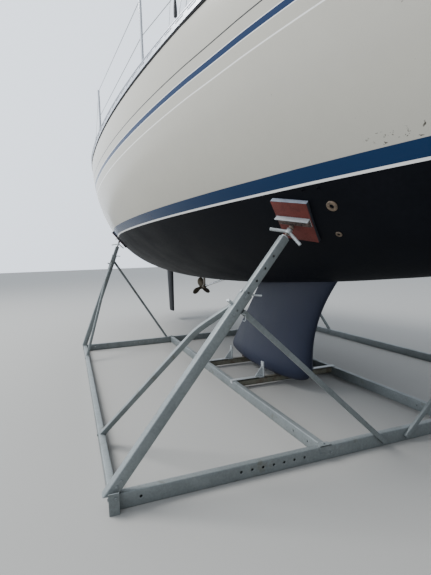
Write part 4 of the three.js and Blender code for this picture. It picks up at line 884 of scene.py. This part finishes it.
deck_gel = finish("deck_gel", "deck_paint", (0.58, 0.565, 0.52), (0.50, 0.485, 0.45), bump=0.0002, patches=2.0,
                  grain=60.0, rough=(0.25, 0.42))
grit = finish("deck_grit", "deck_paint", (0.33, 0.345, 0.335), (0.27, 0.28, 0.275), bump=0.0012, grain=420.0,
              rough=(0.75, 0.9))


def deck_z(x, y):
    return hull_top(x) + HAIR + DECK_EDGE + 0.05 * half_beam(x) * (1 - (y / max(half_beam(x), 0.001)) ** 2)


def roof_half(x, inside=0.0):
    s = clamp((x - ROOF_AFT) / (ROOF_FORE - ROOF_AFT))
    return ROOF_AFT_HALF + (ROOF_FORE_HALF - ROOF_AFT_HALF) * s ** 1.6 - inside


def crown(x):
    return ROOF_AFT_Z + (ROOF_FORE_Z - ROOF_AFT_Z) * (x - ROOF_AFT) / (ROOF_FORE - ROOF_AFT)


def roof_z(x, y):
    return crown(x) - CAMBER * (y / roof_half(x, ROOF_LEAN)) ** 2


def roof_ring(x, inset, foot_z):
    foot, edge = roof_half(x, inset), crown(x) - CAMBER - inset
    head = foot - ROOF_LEAN
    over = [Vector((x, head * s, edge + CAMBER * (1 - s * s))) for s in (0.8, 0.6, 0.4, 0.2, 0)]
    half = bent([(x, foot, foot_z), (x, head, edge), over[0]], 0.05)[:-1] + over
    return half + [Vector((p.x, -p.y, p.z)) for p in reversed(half[:-1])]


# A place on the coachroof's side, so far out from it.
def on_cabin(x, z, side, out):
    low, edge = hull_top(x) + HAIR, crown(x) - CAMBER
    return Vector((x, side * (roof_half(x) - ROOF_LEAN * (z - low) / (edge - low) + out), z))


def window_stations(grow):
    fore, aft, low, high = WINDOW["fore"] + grow, WINDOW["aft"] - grow, WINDOW["low"] - grow, WINDOW["high"] + grow
    fore_r, aft_r = WINDOW["fore_r"], WINDOW["aft_r"]
    bow = [(1 - math.cos(a), 1 - math.sin(a)) for a in spread(0, math.pi / 2, 6)]
    cuts = [(aft + aft_r * u, aft_r * v) for u, v in bow]
    cuts += [(x, 0) for x in spread(aft + aft_r, fore - fore_r, 16)[1:-1]]
    cuts += [(fore - fore_r * v, fore_r * u) for u, v in bow]
    return [(x, hull_top(x) + low + cut, min(hull_top(x) + high, crown(x) - 0.11 + grow) - cut) for x, cut in cuts]


def window_band(grow, near, far, side):
    return skin([[on_cabin(x, z, side, out) for z, out in ((low, near), (low, far), (high, far), (high, near))]
                 for x, low, high in window_stations(grow)])


insets = [(ROOF_AFT, 0.012), (ROOF_AFT + 0.004, 0.004), (ROOF_AFT + 0.014, 0)]
insets += [(x, 0) for x in spread(-1.9, 2.5, 26)]
insets += [(2.54, 0.002), (2.57, 0.010), (2.59, 0.024), (ROOF_FORE, 0.045)]
outside = skin([roof_ring(x, inset, hull_top(x) + HAIR) for x, inset in insets])
inside = skin([roof_ring(x, ROOF_WALL, hull_top(x) - 0.05) for x in spread(ROOF_AFT + ROOF_WALL, 2.48, 14)])
hatchway = slab((ROOF_AFT - 0.05, -HATCHWAY_HALF, SILL_Z), (SLIDE_X + 0.25, HATCHWAY_HALF, 3.6))
holes = [inside, hatchway, *(window_band(0.012, -0.2, 0.08, side) for side in (1, -1))]
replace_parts(piece("coachroof", outside, deck_gel, crisp=28, cuts=holes), "deck")

rings = []
for x in [STERN_X + 0.33, STERN_X + 0.36] + spread(STERN_X + 0.45, 5.3, 70) + [5.36, 5.405]:
    y = edge_y(x, 0.002)
    half = (0.15, 0.35, 0.55, 0.75, 0.9, 0.985, 1)
    across = [s * y for s in (*(-s for s in reversed(half)), 0, *half)]
    rings.append([(x, at, deck_z(x, at) - (0.004 if abs(at) > 0.99 * y else 0)) for at in across]
                 + [(x, y, hull_top(x) + HAIR), (x, -y, hull_top(x) + HAIR)])
lid_hole = slab((LID_X - LID_HOLE, -LID_HOLE, 2.5), (LID_X + LID_HOLE, LID_HOLE, 3.5))
cockpit_hole = slab((COCKPIT_AFT - HAIR, -COCKPIT_HALF - HAIR, 2.5), (COCKPIT_FORE + HAIR, COCKPIT_HALF + HAIR, 3.12))
cabin_hole = skin([[(x, side * roof_half(x, 0.03), z) for side, z in ((1, 2.5), (1, 3.5), (-1, 3.5), (-1, 2.5))]
                   for x in spread(-1.97, 2.48, 14)])
piece("deck_plate", skin(rings), deck_gel, crisp=28, cuts=[cockpit_hole, lid_hole, cabin_hole])
coaming = slab((LID_X - LID_HALF, -LID_HALF, hull_top(LID_X) + 0.03), (LID_X + LID_HALF, LID_HALF, LID_Z))
piece("fore_hatch_coaming", coaming, deck_gel, cuts=[lid_hole], rounding=0.008, steps=3)


# A straight or bent bar of rounded section through points along the boat.
def bar(points, wide, high, corner):
    return skin([[Vector(p) + Vector((0, u, v)) for u, v in rounded(wide, high, corner)] for p in points])


runners = [bar([(x, side * (HATCHWAY_HALF + 0.03), crown(x) - 0.012) for x in (SLIDE_X - 0.34, SLIDE_X + 0.92)],
               0.04, 0.044, 0.006) for side in (1, -1)]
piece("hatch_runners", together(*runners), deck_gel)

GRIT_OVER, GRIT_UNDER = 0.0014, 0.002
by_roof, by_edge = lambda x: roof_half(x) + 0.035, lambda x: edge_y(x, 0.12)
for name, side in SIDES:
    for label, (first, last, count), near, far, height in (  # aft end, fore end and spans, inner edge, outer edge
        (f"side_{name}_0", (-1.95, -0.2, 16), by_roof, by_edge, deck_z),
        (f"side_{name}_1", (-0.15, 2.55, 16), by_roof, by_edge, deck_z),
        (f"cockpit_side_{name}", (-4.7, -2.0, 14), lambda x: 1.05, by_edge, deck_z),
        (f"hatch_side_{name}", (2.66, 3.4, 6), lambda x: 0.33, by_edge, deck_z),
        (f"fore_{name}", (3.45, 4.75, 10), lambda x: 0.03, by_edge, deck_z),
        (f"roof_{name}", (-1.9, -0.7, 8), lambda x: 0.37, lambda x: roof_half(x, 0.2), roof_z),
        (f"roof_fore_{name}", (-0.65, 0.85, 8), lambda x: 0.37, lambda x: roof_half(x, 0.2), roof_z),
        (f"roof_bow_{name}", (1.35, 2.4, 8), lambda x: 0.02, lambda x: roof_half(x, 0.17), roof_z),
    ):
        rings = []
        for x in spread(first, last, count):
            ys = [side * y for y in spread(near(x), far(x), 4)]
            rings.append([(x, y, height(x, y) + GRIT_OVER) for y in ys]
                         + [(x, y, height(x, y) - GRIT_UNDER) for y in reversed(ys)])
        piece(f"grit_{label}", skin(rings), grit, crisp=40)

# The saloon windows: one long pane of smoked acrylic a side, bedded from outside into the hole in the coachroof and
# held by a thin alloy frame round its edge.
smoked = finish("smoked_pane", "smoked_acrylic", (0.018, 0.020, 0.023), (0.030, 0.032, 0.036), bump=0.0,
                rough=(0.04, 0.10))
for name, side in SIDES:
    pane = piece(f"pane_{name}", window_band(0.0115, -0.016, -0.006, side), smoked, crisp=50)
    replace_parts(pane, f"window_{name}")
    loops = [[(x, low) for x, low, high in rows_of] + [(x, high) for x, low, high in reversed(rows_of)]
             for rows_of in (window_stations(0.030), window_stations(0.006))]
    rings = [[on_cabin(*at, side, out) for at, out in ((a, 0.0035), (a, -0.003), (b, -0.003), (b, 0.0035))]
             for a, b in zip(*loops)]
    piece(f"window_frame_{name}", skin(rings, loop=True), anodised, crisp=30)

# The hatches: an alloy-framed acrylic lid on the foredeck, hinged at its fore side, and a moulded slab that slides
# forward over the companionway, with a teak drop board below it.
stainless = finish("stainless", "stainless", (0.62, 0.63, 0.64), (0.54, 0.55, 0.56), metallic=1.0, bump=0.0001,
                   patches=6.0, rough=(0.14, 0.28))
teak = wooden("teak", (0.34, 0.245, 0.155), (0.20, 0.135, 0.08), roughness=0.75,
              stretch=(7.0, 90.0, 90.0), scale=1.2, detail=6.0, unevenness=0.6, depth=0.0008)


# A square slab about the fore hatch's middle.
def lid_slab(half, low, high):
    return slab((LID_X - half, -half, low), (LID_X + half, half, high))


low, high = LID_Z + HAIR, LID_Z + HAIR + LID_THICK
lid_frame = piece("fore_hatch_frame", lid_slab(LID_HALF, low, high), anodised, "fore_hatch",
                  cuts=[lid_slab(LID_HALF - 0.045, low - 0.01, high + 0.01)], rounding=0.005, steps=3)
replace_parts(lid_frame, "fore_hatch")
pane = lid_slab(LID_HALF - 0.0453, high - 0.016, high - 0.004)
piece("fore_hatch_pane", pane, smoked, "fore_hatch", rounding=0.001)
grips, knuckles = [], []
aft, fore = LID_X - LID_HALF, LID_X + LID_HALF
for y in (0.14, -0.14):
    grips += [spun((aft + 0.075, y, high - 0.0045), UP, [(0.021, 0), (0.021, 0.004), (0.012, 0.009), (0.011, 0.013)]),
              slab((aft + 0.069, y - 0.008, high + 0.007), (aft + 0.135, y + 0.008, high + 0.013))]
    knuckles += [disc((fore + 0.006, y, high - 0.008), ABEAM, 0.008, 0.06, 16),
                 slab((fore - 0.03, y - 0.026, high - 0.0005), (fore + 0.006, y + 0.026, high + 0.0035))]
piece("fore_hatch_handles", together(*grips), stainless, "fore_hatch", rounding=0.0015)
piece("fore_hatch_hinges", together(*knuckles), anodised, "fore_hatch", rounding=0.001)

lift = 0.01 + HAIR + SLIDE_THICK / 2 + 0.0006
ends = [(x, 0, crown(x) + lift) for x in (SLIDE_X - SLIDE_LONG / 2 - 0.02, SLIDE_X + SLIDE_LONG / 2 - 0.02)]
slide = bar(ends, SLIDE_WIDE, SLIDE_THICK, 0.010)
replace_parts(piece("sliding_hatch", slide, deck_gel, "main_hatch", rounding=0.006, steps=3), "main_hatch")
grab_x = ends[0][0] + 0.07
grab_z = crown(grab_x) + lift + SLIDE_THICK / 2
grab = [(grab_x, y, grab_z + z) for y, z in ((-0.14, -0.003), (-0.14, 0.035), (0.14, 0.035), (0.14, -0.003))]
rods("sliding_hatch_grab", [(bent(grab, 0.03), 0.009)], stainless, "main_hatch", sides=3)
low, high = SILL_Z + HAIR, crown(ROOF_AFT) - 0.03
grooves = [slab((ROOF_AFT + 0.001, -0.3, z - 0.0015), (ROOF_AFT + 0.008, 0.3, z + 0.0015))
           for z in spread(low, high, 3)[1:-1]]
board = slab((ROOF_AFT + 0.005, -0.2797, low), (ROOF_AFT + 0.025, 0.2797, high))
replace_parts(piece("drop_board", board, teak, cuts=grooves, rounding=0.001), "washboard")

# The cockpit: a moulded liner with a seat along each side over a deep well, lockers under both seats, and teak slats
# laid on the seats, the locker lids and the sole.
SEAT_Z, RIM_Z, WELL_HALF = hull_top(COCKPIT_AFT) - 0.06, hull_top(COCKPIT_AFT) + 0.25, 0.37
LOCKER_FORE, LOCKER_AFT, LOCKER_IN, LOCKER_OUT, LOCKER_DEEP, LOCKER_LID = -2.5, -3.42, 0.45, 0.85, 0.33, 0.026
SLAT_WIDE, SLAT_GAP = 0.047, 0.006
cuts = [slab((COCKPIT_AFT + 0.04, -0.93, SEAT_Z), (COCKPIT_FORE + 0.05, 0.93, RIM_Z + 0.05)),
        slab((COCKPIT_AFT + 0.26, -WELL_HALF, SOLE_Z), (COCKPIT_FORE + 0.05, WELL_HALF, SEAT_Z + 0.02))]
for side in (1, -1):
    cuts += [slab((LOCKER_AFT - out, side * (LOCKER_IN - out), SEAT_Z - deep),
                  (LOCKER_FORE + out, side * (LOCKER_OUT + out), SEAT_Z + 0.01))
             for out, deep in ((0, LOCKER_DEEP), (0.025, LOCKER_LID + HAIR))]
liner = slab((COCKPIT_AFT, -COCKPIT_HALF, SOLE_Z - 0.039), (COCKPIT_FORE, COCKPIT_HALF, RIM_Z))
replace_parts(piece("cockpit_liner", liner, deck_gel, crisp=40, cuts=cuts, rounding=0.009, steps=3), "cockpit")


# Teak slats between two corners, on a surface at a height.
def planked(name, aft, fore, one_y, other_y, z, body="yacht"):
    low, high = sorted((one_y, other_y))
    count = round((high - low) / (SLAT_WIDE + SLAT_GAP))
    pitch = (high - low) / count
    plank = bar([(x, 0, 0) for x in ((aft - fore) / 2, (fore - aft) / 2)], pitch - SLAT_GAP, 0.009, 0.002)
    places = [(((aft + fore) / 2, low + pitch * (k + 0.5), z + 0.0046), UP, AHEAD) for k in range(count)]
    set_in_rows(name, plank, places, teak, body)


planked("sole_planks", COCKPIT_AFT + 0.28, COCKPIT_FORE - 0.03, -0.345, 0.345, SOLE_Z)
for name, side in SIDES:
    planked(f"seat_planks_{name}_0", COCKPIT_AFT + 0.07, LOCKER_AFT - 0.04, side * 0.395, side * 0.91, SEAT_Z)
    planked(f"seat_planks_{name}_1", LOCKER_FORE + 0.04, COCKPIT_FORE - 0.02, side * 0.395, side * 0.91, SEAT_Z)
    lid = slab((LOCKER_AFT - 0.02, side * (LOCKER_IN - 0.02), SEAT_Z - LOCKER_LID),
               (LOCKER_FORE + 0.02, side * (LOCKER_OUT + 0.02), SEAT_Z))
    lid = piece(f"locker_lid_base_{name}", lid, teak, f"locker_lid_{name}", rounding=0.003)
    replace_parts(lid, f"locker_lid_{name}")
    planked(f"locker_lid_planks_{name}", LOCKER_AFT - 0.012, LOCKER_FORE + 0.012, side * (LOCKER_IN - 0.01),
            side * (LOCKER_OUT + 0.01), SEAT_Z, f"locker_lid_{name}")

# Steering: a moulded glass-fibre pedestal bolted to the sole, with a compass under a dark glass dome on its top, and
# a wheel of bent stainless tube with six welded spokes, keyed to the shaft on its aft side.
WHEEL_X, WHEEL_R, WHEEL_Z, RIM_R = -3.93, 0.345, SEAT_Z + 0.13, 0.013
POST_X, tall = WHEEL_X + 0.13, WHEEL_Z + 0.12 - SOLE_Z
compass_glass = finish("compass_glass", "smoked_acrylic", (0.03, 0.035, 0.04), (0.05, 0.055, 0.06), bump=0.0,
                       rough=(0.03, 0.08))
post = spun((POST_X, 0, SOLE_Z + HAIR), UP, [
    (0.104, 0), (0.104, 0.012), (0.092, 0.02), (0.082, 0.12), (0.066, tall - 0.1), (0.060, tall - 0.03),
    (0.052, tall - 0.006), (0.04, tall)], 32)
head = spun((WHEEL_X + 0.14, 0, WHEEL_Z), (-1, 0, 0), [(0.03, 0), (0.03, 0.11), (0.026, 0.122)], 20)
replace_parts(piece("pedestal_post", together(post, head), deck_gel, crisp=40), "steering_pedestal")
piece("compass", spun((POST_X, 0, SOLE_Z + tall - 0.001), UP, [
    (0.046, 0), (0.058, 0.006), (0.058, 0.03), (0.054, 0.034), (0.05, 0.05), (0.038, 0.066), (0.02, 0.075),
    (0.004, 0.077)], 28), compass_glass)
at_wheel = lambda r, c, s: (WHEEL_X, r * c, WHEEL_Z + r * s)
rim = [at_wheel(WHEEL_R - RIM_R, c, s) for c, s in circle(56)]
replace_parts(rods("wheel_rim", [(rim, RIM_R)], stainless, "steering_wheel", sides=4, closed=True), "steering_wheel")
spokes = [([at_wheel(r, c, s) for r in (0.02, WHEEL_R - RIM_R)], 0.007) for c, s in circle(12)[1::2]]
rods("wheel_spokes", spokes, stainless, "steering_wheel", sides=3)
piece("wheel_hub", spun((WHEEL_X + 0.0145, 0, WHEEL_Z), (-1, 0, 0), [
    (0.030, 0), (0.042, 0.004), (0.042, 0.025), (0.030, 0.029), (0.016, 0.030), (0.016, 0.036), (0.010, 0.038)], 28),
    stainless, "steering_wheel")

# The rudder's stock, a stainless bar in a tube through the hull, and the propeller: three cast bronze blades on one
# boss, keyed to a stainless shaft that runs down aft out of the hull and is held by a bracket.
stock = [(RUDDER_X, 0, rudder_head - 0.15), (RUDDER_X, 0, hull_bottom(RUDDER_X) + 0.5)]
rods("rudder_stock", [(stock, 0.0296)], stainless, "rudder", sides=6)
bronze = finish("bronze", "bronze", (0.12, 0.092, 0.055), (0.045, 0.040, 0.032), metallic=0.6, patches=14.0,
                grain=90.0, contrast=2.4, rough=(0.32, 0.6))
PROPELLER = Vector((-2.05, 0, 0.93))
SHAFT_TILT = math.atan(0.16)
BLADE = [  # distance out, half width, thickness
    (0.018, 0.030, 0.012), (0.04, 0.044, 0.011), (0.065, 0.056, 0.0095), (0.09, 0.062, 0.008), (0.12, 0.062, 0.0065),
    (0.145, 0.056, 0.005), (0.165, 0.044, 0.004), (0.18, 0.030, 0.003), (0.19, 0.012, 0.002),
]
shaft_way = Vector((math.cos(SHAFT_TILT), 0, math.sin(SHAFT_TILT)))
shaft_at = lambda d: PROPELLER + shaft_way * d
blades = []
for k in range(3):
    hung = (Matrix.Translation(PROPELLER) @ Matrix.Rotation(-SHAFT_TILT, 4, "Y")
            @ Matrix.Rotation(k * 2 * math.pi / 3, 4, "X"))
    rings = []
    for out, wide, thick in BLADE:
        twist = 0.9 - 0.45 * out / BLADE[-1][0]
        ahead, across = math.sin(twist), math.cos(twist)
        section = [(c * wide, s * thick * 0.5 + 0.10 * wide * s * s) for c, s in circle(20)]
        rings.append([hung @ Vector((u * ahead + v * across, u * across - v * ahead, out)) for u, v in section])
    blades.append(skin(rings))
boss = spun(shaft_at(-0.075), shaft_way, [
    (0.004, 0), (0.016, 0.004), (0.024, 0.02), (0.030, 0.032), (0.0335, 0.05), (0.034, 0.115), (0.030, 0.12)], 28)
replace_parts(piece("propeller_blades", together(*blades, boss), bronze, "propeller", crisp=45), "propeller")
rods("propeller_shaft", [([shaft_at(0.03), shaft_at(1.33)], 0.0149)], stainless, "propeller", sides=5)
# The bracket is shown as it was packed.
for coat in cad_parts["propeller_bracket"].material_slots:
    coat.material = bronze

# The guard rails: a pulpit and a pushpit welded up of stainless tube, and stanchions between them with two wires
# threaded through. Every upright stands in a turned base that is bolted to the deck.
BOW_POSTS, STERN_POSTS, STANCHIONS = (4.25, 4.9), (-4.35, -5.15), (3.25, 1.65, 0.05, -1.55, -3.05)
TUBE_R, THIN_R = 0.0125, 0.010
rail_at = lambda x, side, height: Vector((x, side * edge_y(x, 0.055), deck_z(x, edge_y(x, 0.055)) + height))
posts = lambda xs: [([rail_at(x, side, -0.004), rail_at(x, side, 0.597)], TUBE_R) for x in xs for side in (1, -1)]
over_deck = lambda xs, side, height: [rail_at(x, side, height) for x in xs]
nose = Vector((5.48, 0, sheer(BOW_X) + 0.62))
top = bent(over_deck(BOW_POSTS, 1, 0.6) + [nose] + over_deck(BOW_POSTS[::-1], -1, 0.6), 0.16, 8)
middle = [(over_deck(BOW_POSTS, side, 0.3), THIN_R) for side in (1, -1)]
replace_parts(rods("pulpit_tubes", [(top, TUBE_R), *posts(BOW_POSTS), *middle], stainless, sides=4), "pulpit")
loops = [(bent(over_deck(STERN_POSTS, 1, height) + over_deck(STERN_POSTS[::-1], -1, height), 0.14, 8), r)
         for height, r in ((0.6, TUBE_R), (0.3, THIN_R))]
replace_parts(rods("pushpit_tubes", [*loops, *posts(STERN_POSTS)], stainless, sides=4), "pushpit")
stops = [BOW_POSTS[0] - 0.012, *STANCHIONS, STERN_POSTS[0] + 0.012]
for name, side in SIDES:
    uprights = [([rail_at(x, side, height) for height in (-0.004, 0.586, 0.600)], TUBE_R) for x in STANCHIONS]
    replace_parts(rods(f"stanchions_{name}", uprights, stainless, sides=4), f"lifelines_{name}")
    wires = [(over_deck(stops, side, height), 0.0035) for height in (0.588, 0.3)]
    rods(f"guard_wires_{name}", wires, stainless, sides=1)
base = spun((0, 0, 0), UP, [
    (0.036, -0.004), (0.036, 0.004), (0.020, 0.010), (0.0175, 0.014), (0.0172, 0.055), (0.0127, 0.058)], 18)
places = [(rail_at(x, side, 0), UP, AHEAD) for x in (*BOW_POSTS, *STANCHIONS, *STERN_POSTS) for side in (1, -1)]
set_in_rows("rail_bases", base, places, stainless)

# The rig: an anodised alloy mast and boom, one pair of spreaders, and wire stays set up by rigging screws on
# chainplates bolted to the deck.
MAST_X, MAST_TOP, MAST_LONG, MAST_WIDE = 1.1, 17.3, 0.17, 0.115
MAST_BACK, SPREADER_Z, SPREADER_REACH = MAST_X - MAST_LONG / 2, 9.9, 1.13
BOOM_Z, BOOM_LONG, BOOM_HIGH, BOOM_WIDE, PIVOT_X = 4.12, 4.25, 0.15, 0.095, MAST_BACK - 0.06
heel_z = crown(MAST_X + MAST_LONG / 2) + HAIR
heights = [heel_z + 0.01] + spread(heel_z + 0.04, MAST_TOP - 0.06, 24) + [MAST_TOP]
mast_tube = skin([[(MAST_X + MAST_LONG / 2 * c, MAST_WIDE / 2 * s, z) for c, s in circle(36)] for z in heights])
track = slab((MAST_BACK - 0.008, -0.009, heel_z + 1.2), (MAST_BACK + 0.01, 0.009, MAST_TOP - 0.2))
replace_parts(piece("mast_tube", together(mast_tube, track), anodised, crisp=40), "mast")
crane = slab((MAST_X - 0.2, -0.03, MAST_TOP - 0.06), (MAST_X + 0.15, 0.03, MAST_TOP))
piece("mast_crane", crane, anodised, rounding=0.008)
COLLAR = [(1.28, 0), (1.28, 0.012), (1.1, 0.02), (1.06, 0.07), (1.0, 0.075)]  # radii in halves of the mast's section
foot, faces = spun((0, 0, heel_z - 0.003), UP, COLLAR, 36)
foot = [(MAST_X + p.x * MAST_LONG / 2, p.y * MAST_WIDE / 2, p.z) for p in foot]
piece("mast_step", (foot, faces), anodised, crisp=40)
rings = []
for s in (-1, -0.995, -0.97, -0.5, -0.06, 0.06, 0.5, 0.97, 0.995, 1):
    thin = 1 - 0.3 * abs(s) - (0.25 if abs(s) > 0.99 else 0)
    rings.append([(MAST_X + 0.045 * thin * c, s * SPREADER_REACH, SPREADER_Z + 0.015 * thin * d)
                  for c, d in circle(18)])
piece("spreaders", skin(rings), anodised, crisp=40)
pivot = (PIVOT_X, 0, BOOM_Z)
ears = [slab((PIVOT_X - 0.02, -0.02, z - 0.005), (MAST_BACK + 0.015, 0.02, z + 0.005))
        for z in (BOOM_Z + 0.03, BOOM_Z - 0.03)]
pin = [disc(pivot, UP, 0.0098, 0.1, 20), disc((PIVOT_X, 0, BOOM_Z + 0.048), UP, 0.015, 0.008, 20)]
piece("gooseneck", together(*ears, *pin), stainless, rounding=0.001, steps=1)
rings = []
for d, thin in ((0, 0.86), (0.004, 0.95), (0.016, 1), (0.5, 1), (2.2, 1), (4.0, 1), (BOOM_LONG - 0.016, 1),
                (BOOM_LONG - 0.004, 0.95), (BOOM_LONG, 0.86)):
    rings.append([(PIVOT_X - 0.06 - d, BOOM_WIDE / 2 * thin * c, BOOM_Z + BOOM_HIGH / 2 * thin * s)
                  for c, s in circle(28)])
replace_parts(piece("boom_tube", skin(rings), anodised, "boom", crisp=40), "boom")
tongue = slab((PIVOT_X - 0.07, -0.018, BOOM_Z - 0.024), (PIVOT_X + 0.018, 0.018, BOOM_Z + 0.024))
piece("boom_tongue", tongue, stainless, "boom", cuts=[disc(pivot, UP, BOOM_WIDE * 0.115, 0.2, 20)], rounding=0.002)


# A rigging screw at the foot of a wire: fork, threaded body, and the swaged end of the wire.
def rigging_screw(foot, head):
    return spun(foot, head - foot, [
        (0.006, 0.0), (0.013, 0.004), (0.013, 0.035), (0.007, 0.042), (0.007, 0.07), (0.0125, 0.075), (0.0125, 0.24),
        (0.007, 0.246), (0.007, 0.28), (0.0085, 0.285), (0.0085, 0.36), (0.005, 0.375)], 14)


for name, x, head_x, radius in (("forestay", 5.34, 1.24, 0.0075), ("backstay", -5.12, 0.91, 0.005)):
    foot, head = Vector((x, 0, deck_z(x, 0) - 0.01)), Vector((head_x, 0, MAST_TOP - 0.03))
    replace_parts(rods(f"{name}_wire", [([foot.lerp(head, 0.004), head], radius)], stainless), name)
    piece(f"{name}_screw", rigging_screw(foot, head), stainless, crisp=40)
CAP_X, LOWER_X, CHAIN_Y, WIRE_R, HOUND_Y = 1.25, (0.62, 1.02), 1.23, 0.005, 0.0525
boot_black = finish("boot_rubber", "deck_paint", (0.014, 0.014, 0.015), (0.028, 0.028, 0.03), rough=(0.55, 0.75))
for name, side in SIDES:
    foot_of = lambda x, dx=0, y=0, z=0: Vector((x + dx, side * CHAIN_Y + y, deck_z(x, CHAIN_Y) + 0.004 + z))
    base = bar([foot_of(LOWER_X[0], -0.03), foot_of(CAP_X, 0.03)], 0.014, 0.034, 0.004)
    tangs = [slab(foot_of(x, -0.016, -0.005), foot_of(x, 0.016, 0.005, 0.045)) for x in (*LOWER_X, CAP_X)]
    piece(f"chainplate_{name}", together(base, *tangs), stainless, rounding=0.002)
    tip = Vector((MAST_X, side * (SPREADER_REACH + 0.005), SPREADER_Z))
    hounds = [Vector((MAST_X + shift, side * HOUND_Y, SPREADER_Z - 0.3)) for shift in (-0.025, 0.025)]
    runs = [[foot_of(CAP_X), tip, Vector((MAST_X, side * HOUND_Y, MAST_TOP - 0.2))]]
    runs += [[foot_of(x), hound] for x, hound in zip(LOWER_X, hounds)]
    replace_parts(rods(f"shroud_wires_{name}", [(run, WIRE_R) for run in runs], stainless, sides=1), f"shrouds_{name}")
    screws = [rigging_screw(run[0] + Vector((0, 0, 0.02)), run[1]) for run in runs]
    piece(f"shroud_screws_{name}", together(*screws), stainless, crisp=40)
    boot = spun(foot_of(CAP_X).lerp(tip, 0.107), tip - foot_of(CAP_X), [
        (0.0062, 0.32), (0.009, 0.3), (0.011, 0.17), (0.0175, 0.1), (0.019, 0.03), (0.0165, 0.004), (0.0062, 0)], 16)
    piece(f"shroud_boot_{name}", boot, boot_black)

# Deck gear: two-speed winches on the coamings, horn cleats, genoa tracks with their cars, a bow roller and teak grab
# rails along the coachroof.
DRUM = [(0.0005, 0.0), (0.074, 0.0), (0.075, 0.003), (0.075, 0.018), (0.070, 0.026), (0.054, 0.038), (0.0505, 0.05),
        (0.049, 0.075), (0.0505, 0.1), (0.055, 0.114), (0.067, 0.128), (0.068, 0.134), (0.068, 0.146), (0.064, 0.15),
        (0.03, 0.15), (0.022, 0.1495), (0.0215, 0.138), (0.0005, 0.138)]
HORN = [(0, 0.034, 0.010), (0.045, 0.034, 0.009), (0.08, 0.036, 0.0065), (0.085, 0.036, 0.004)]  # out, height, radius
TRACK = [(0.016, -0.003), (0.016, 0.006), (0.008, 0.008), (0.008, 0.013), (0.016, 0.015), (0.016, 0.02)]
TRACK += [(-u, v) for u, v in reversed(TRACK)]
rings = [[(x, r * c, z + r * s) for c, s in circle(12)] for x, z, r in [(-x, z, r) for x, z, r in HORN[:0:-1]] + HORN]
CLEAT_FOOT = [(0.02, 0), (0.019, 0.006), (0.009, 0.012), (0.009, 0.036)]
feet = [spun((x, 0, -0.004), UP, CLEAT_FOOT, 14) for x in (-0.028, 0.028)]
places = []
for x in (4.55, 0.3, -4.95):
    for side in (1, -1):
        y = side * edge_y(x, 0.13)
        slope = side * (breadth(x + 0.1, hull_top(x)) - breadth(x - 0.1, hull_top(x))) / 0.2
        places.append(((x, y, deck_z(x, y)), UP, Vector((1, slope, 0)).normalized()))
set_in_rows("horn_cleats", together(skin(rings), *feet), places, stainless)
for name, side in SIDES:
    drum = spun((-3.65, side * 0.94, RIM_Z + HAIR), UP, DRUM, 36)
    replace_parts(piece(f"winch_drum_{name}", drum, stainless, crisp=30), f"winch_{name}")
    on_track = lambda x: Vector((x, side * edge_y(x, 0.20), deck_z(x, edge_y(x, 0.20))))
    rings = [[on_track(x) + Vector((0, u, v)) for u, v in TRACK] for x in spread(-1.9, 0.25, 16)]
    piece(f"genoa_track_{name}", skin(rings), anodised, crisp=30)
    x, y, z = on_track(-0.75) + Vector((0, 0, 0.021))
    car = [slab((x - 0.05, y - 0.022, z), (x + 0.05, y + 0.022, z + 0.022)),
           disc((x, y, z + 0.05), ABEAM, 0.026, 0.022, 24)]
    car += [slab((x - 0.022, y + way * 0.013, z + 0.02), (x + 0.022, y + way * 0.018, z + 0.075)) for way in (-1, 1)]
    piece(f"genoa_car_{name}", together(*car), stainless, rounding=0.0015)
    line = []
    for k, x in enumerate(spread(-0.9, 1.9, 28)):
        y = side * roof_half(x, 0.145)
        line.append((x, y, roof_z(x, y) + (0.012 if k % 7 == 0 else 0.042)))
    piece(f"grab_rail_{name}", bar(line, 0.026, 0.030, 0.010), teak)
bow_z = deck_z(5.3, 0)
cheeks = [slab((5.28, y - 0.004, bow_z - 0.01), (5.56, y + 0.004, bow_z + 0.05)) for y in (0.035, -0.035)]
roller = spun((5.52, -0.03, bow_z + 0.02), ABEAM, [
    (0.026, 0), (0.024, 0.006), (0.015, 0.022), (0.015, 0.038), (0.024, 0.054), (0.026, 0.06)], 24)
plate = slab((5.28, -0.039, bow_z - 0.012), (5.5, 0.039, bow_z - 0.004))
piece("bow_roller", together(*cheeks, roller, plate), stainless, rounding=0.001, steps=1)

# The skin fittings: flanged bronze outlets and inlets, let through the hull forward on the starboard side and drawn
# up from inside. The large ones are worn bare, and the two small ones are painted over with the bottom.
worn_bronze = finish("worn_bronze", "bottom_paint", (0.24, 0.17, 0.11), (0.05, 0.042, 0.034), metallic=0.2,
                     bump=0.0008, patches=60.0, grain=260.0, contrast=3.4, rough=(0.45, 0.7))
for name, x, z, radius, bore, coat in (
    ("outlet", 3.028, 1.738, 0.036, 0.015, worn_bronze), ("inlet", 2.92, 1.58, 0.022, 0.011, worn_bronze),
    ("drain", 2.92, 1.846, 0.010, 0.005, antifouling), ("vent", 3.02, 1.841, 0.010, 0.005, antifouling),
):
    way = skin_normal(x, z, -1)
    profile = [(radius, 0), (radius, 0.007), (radius * 0.85, 0.011), (bore, 0.010), (bore, 0.001)]
    piece(f"skin_fitting_{name}", spun(Vector((x, -breadth(x, z), z)) - way * 0.004, way, profile, 28), coat)
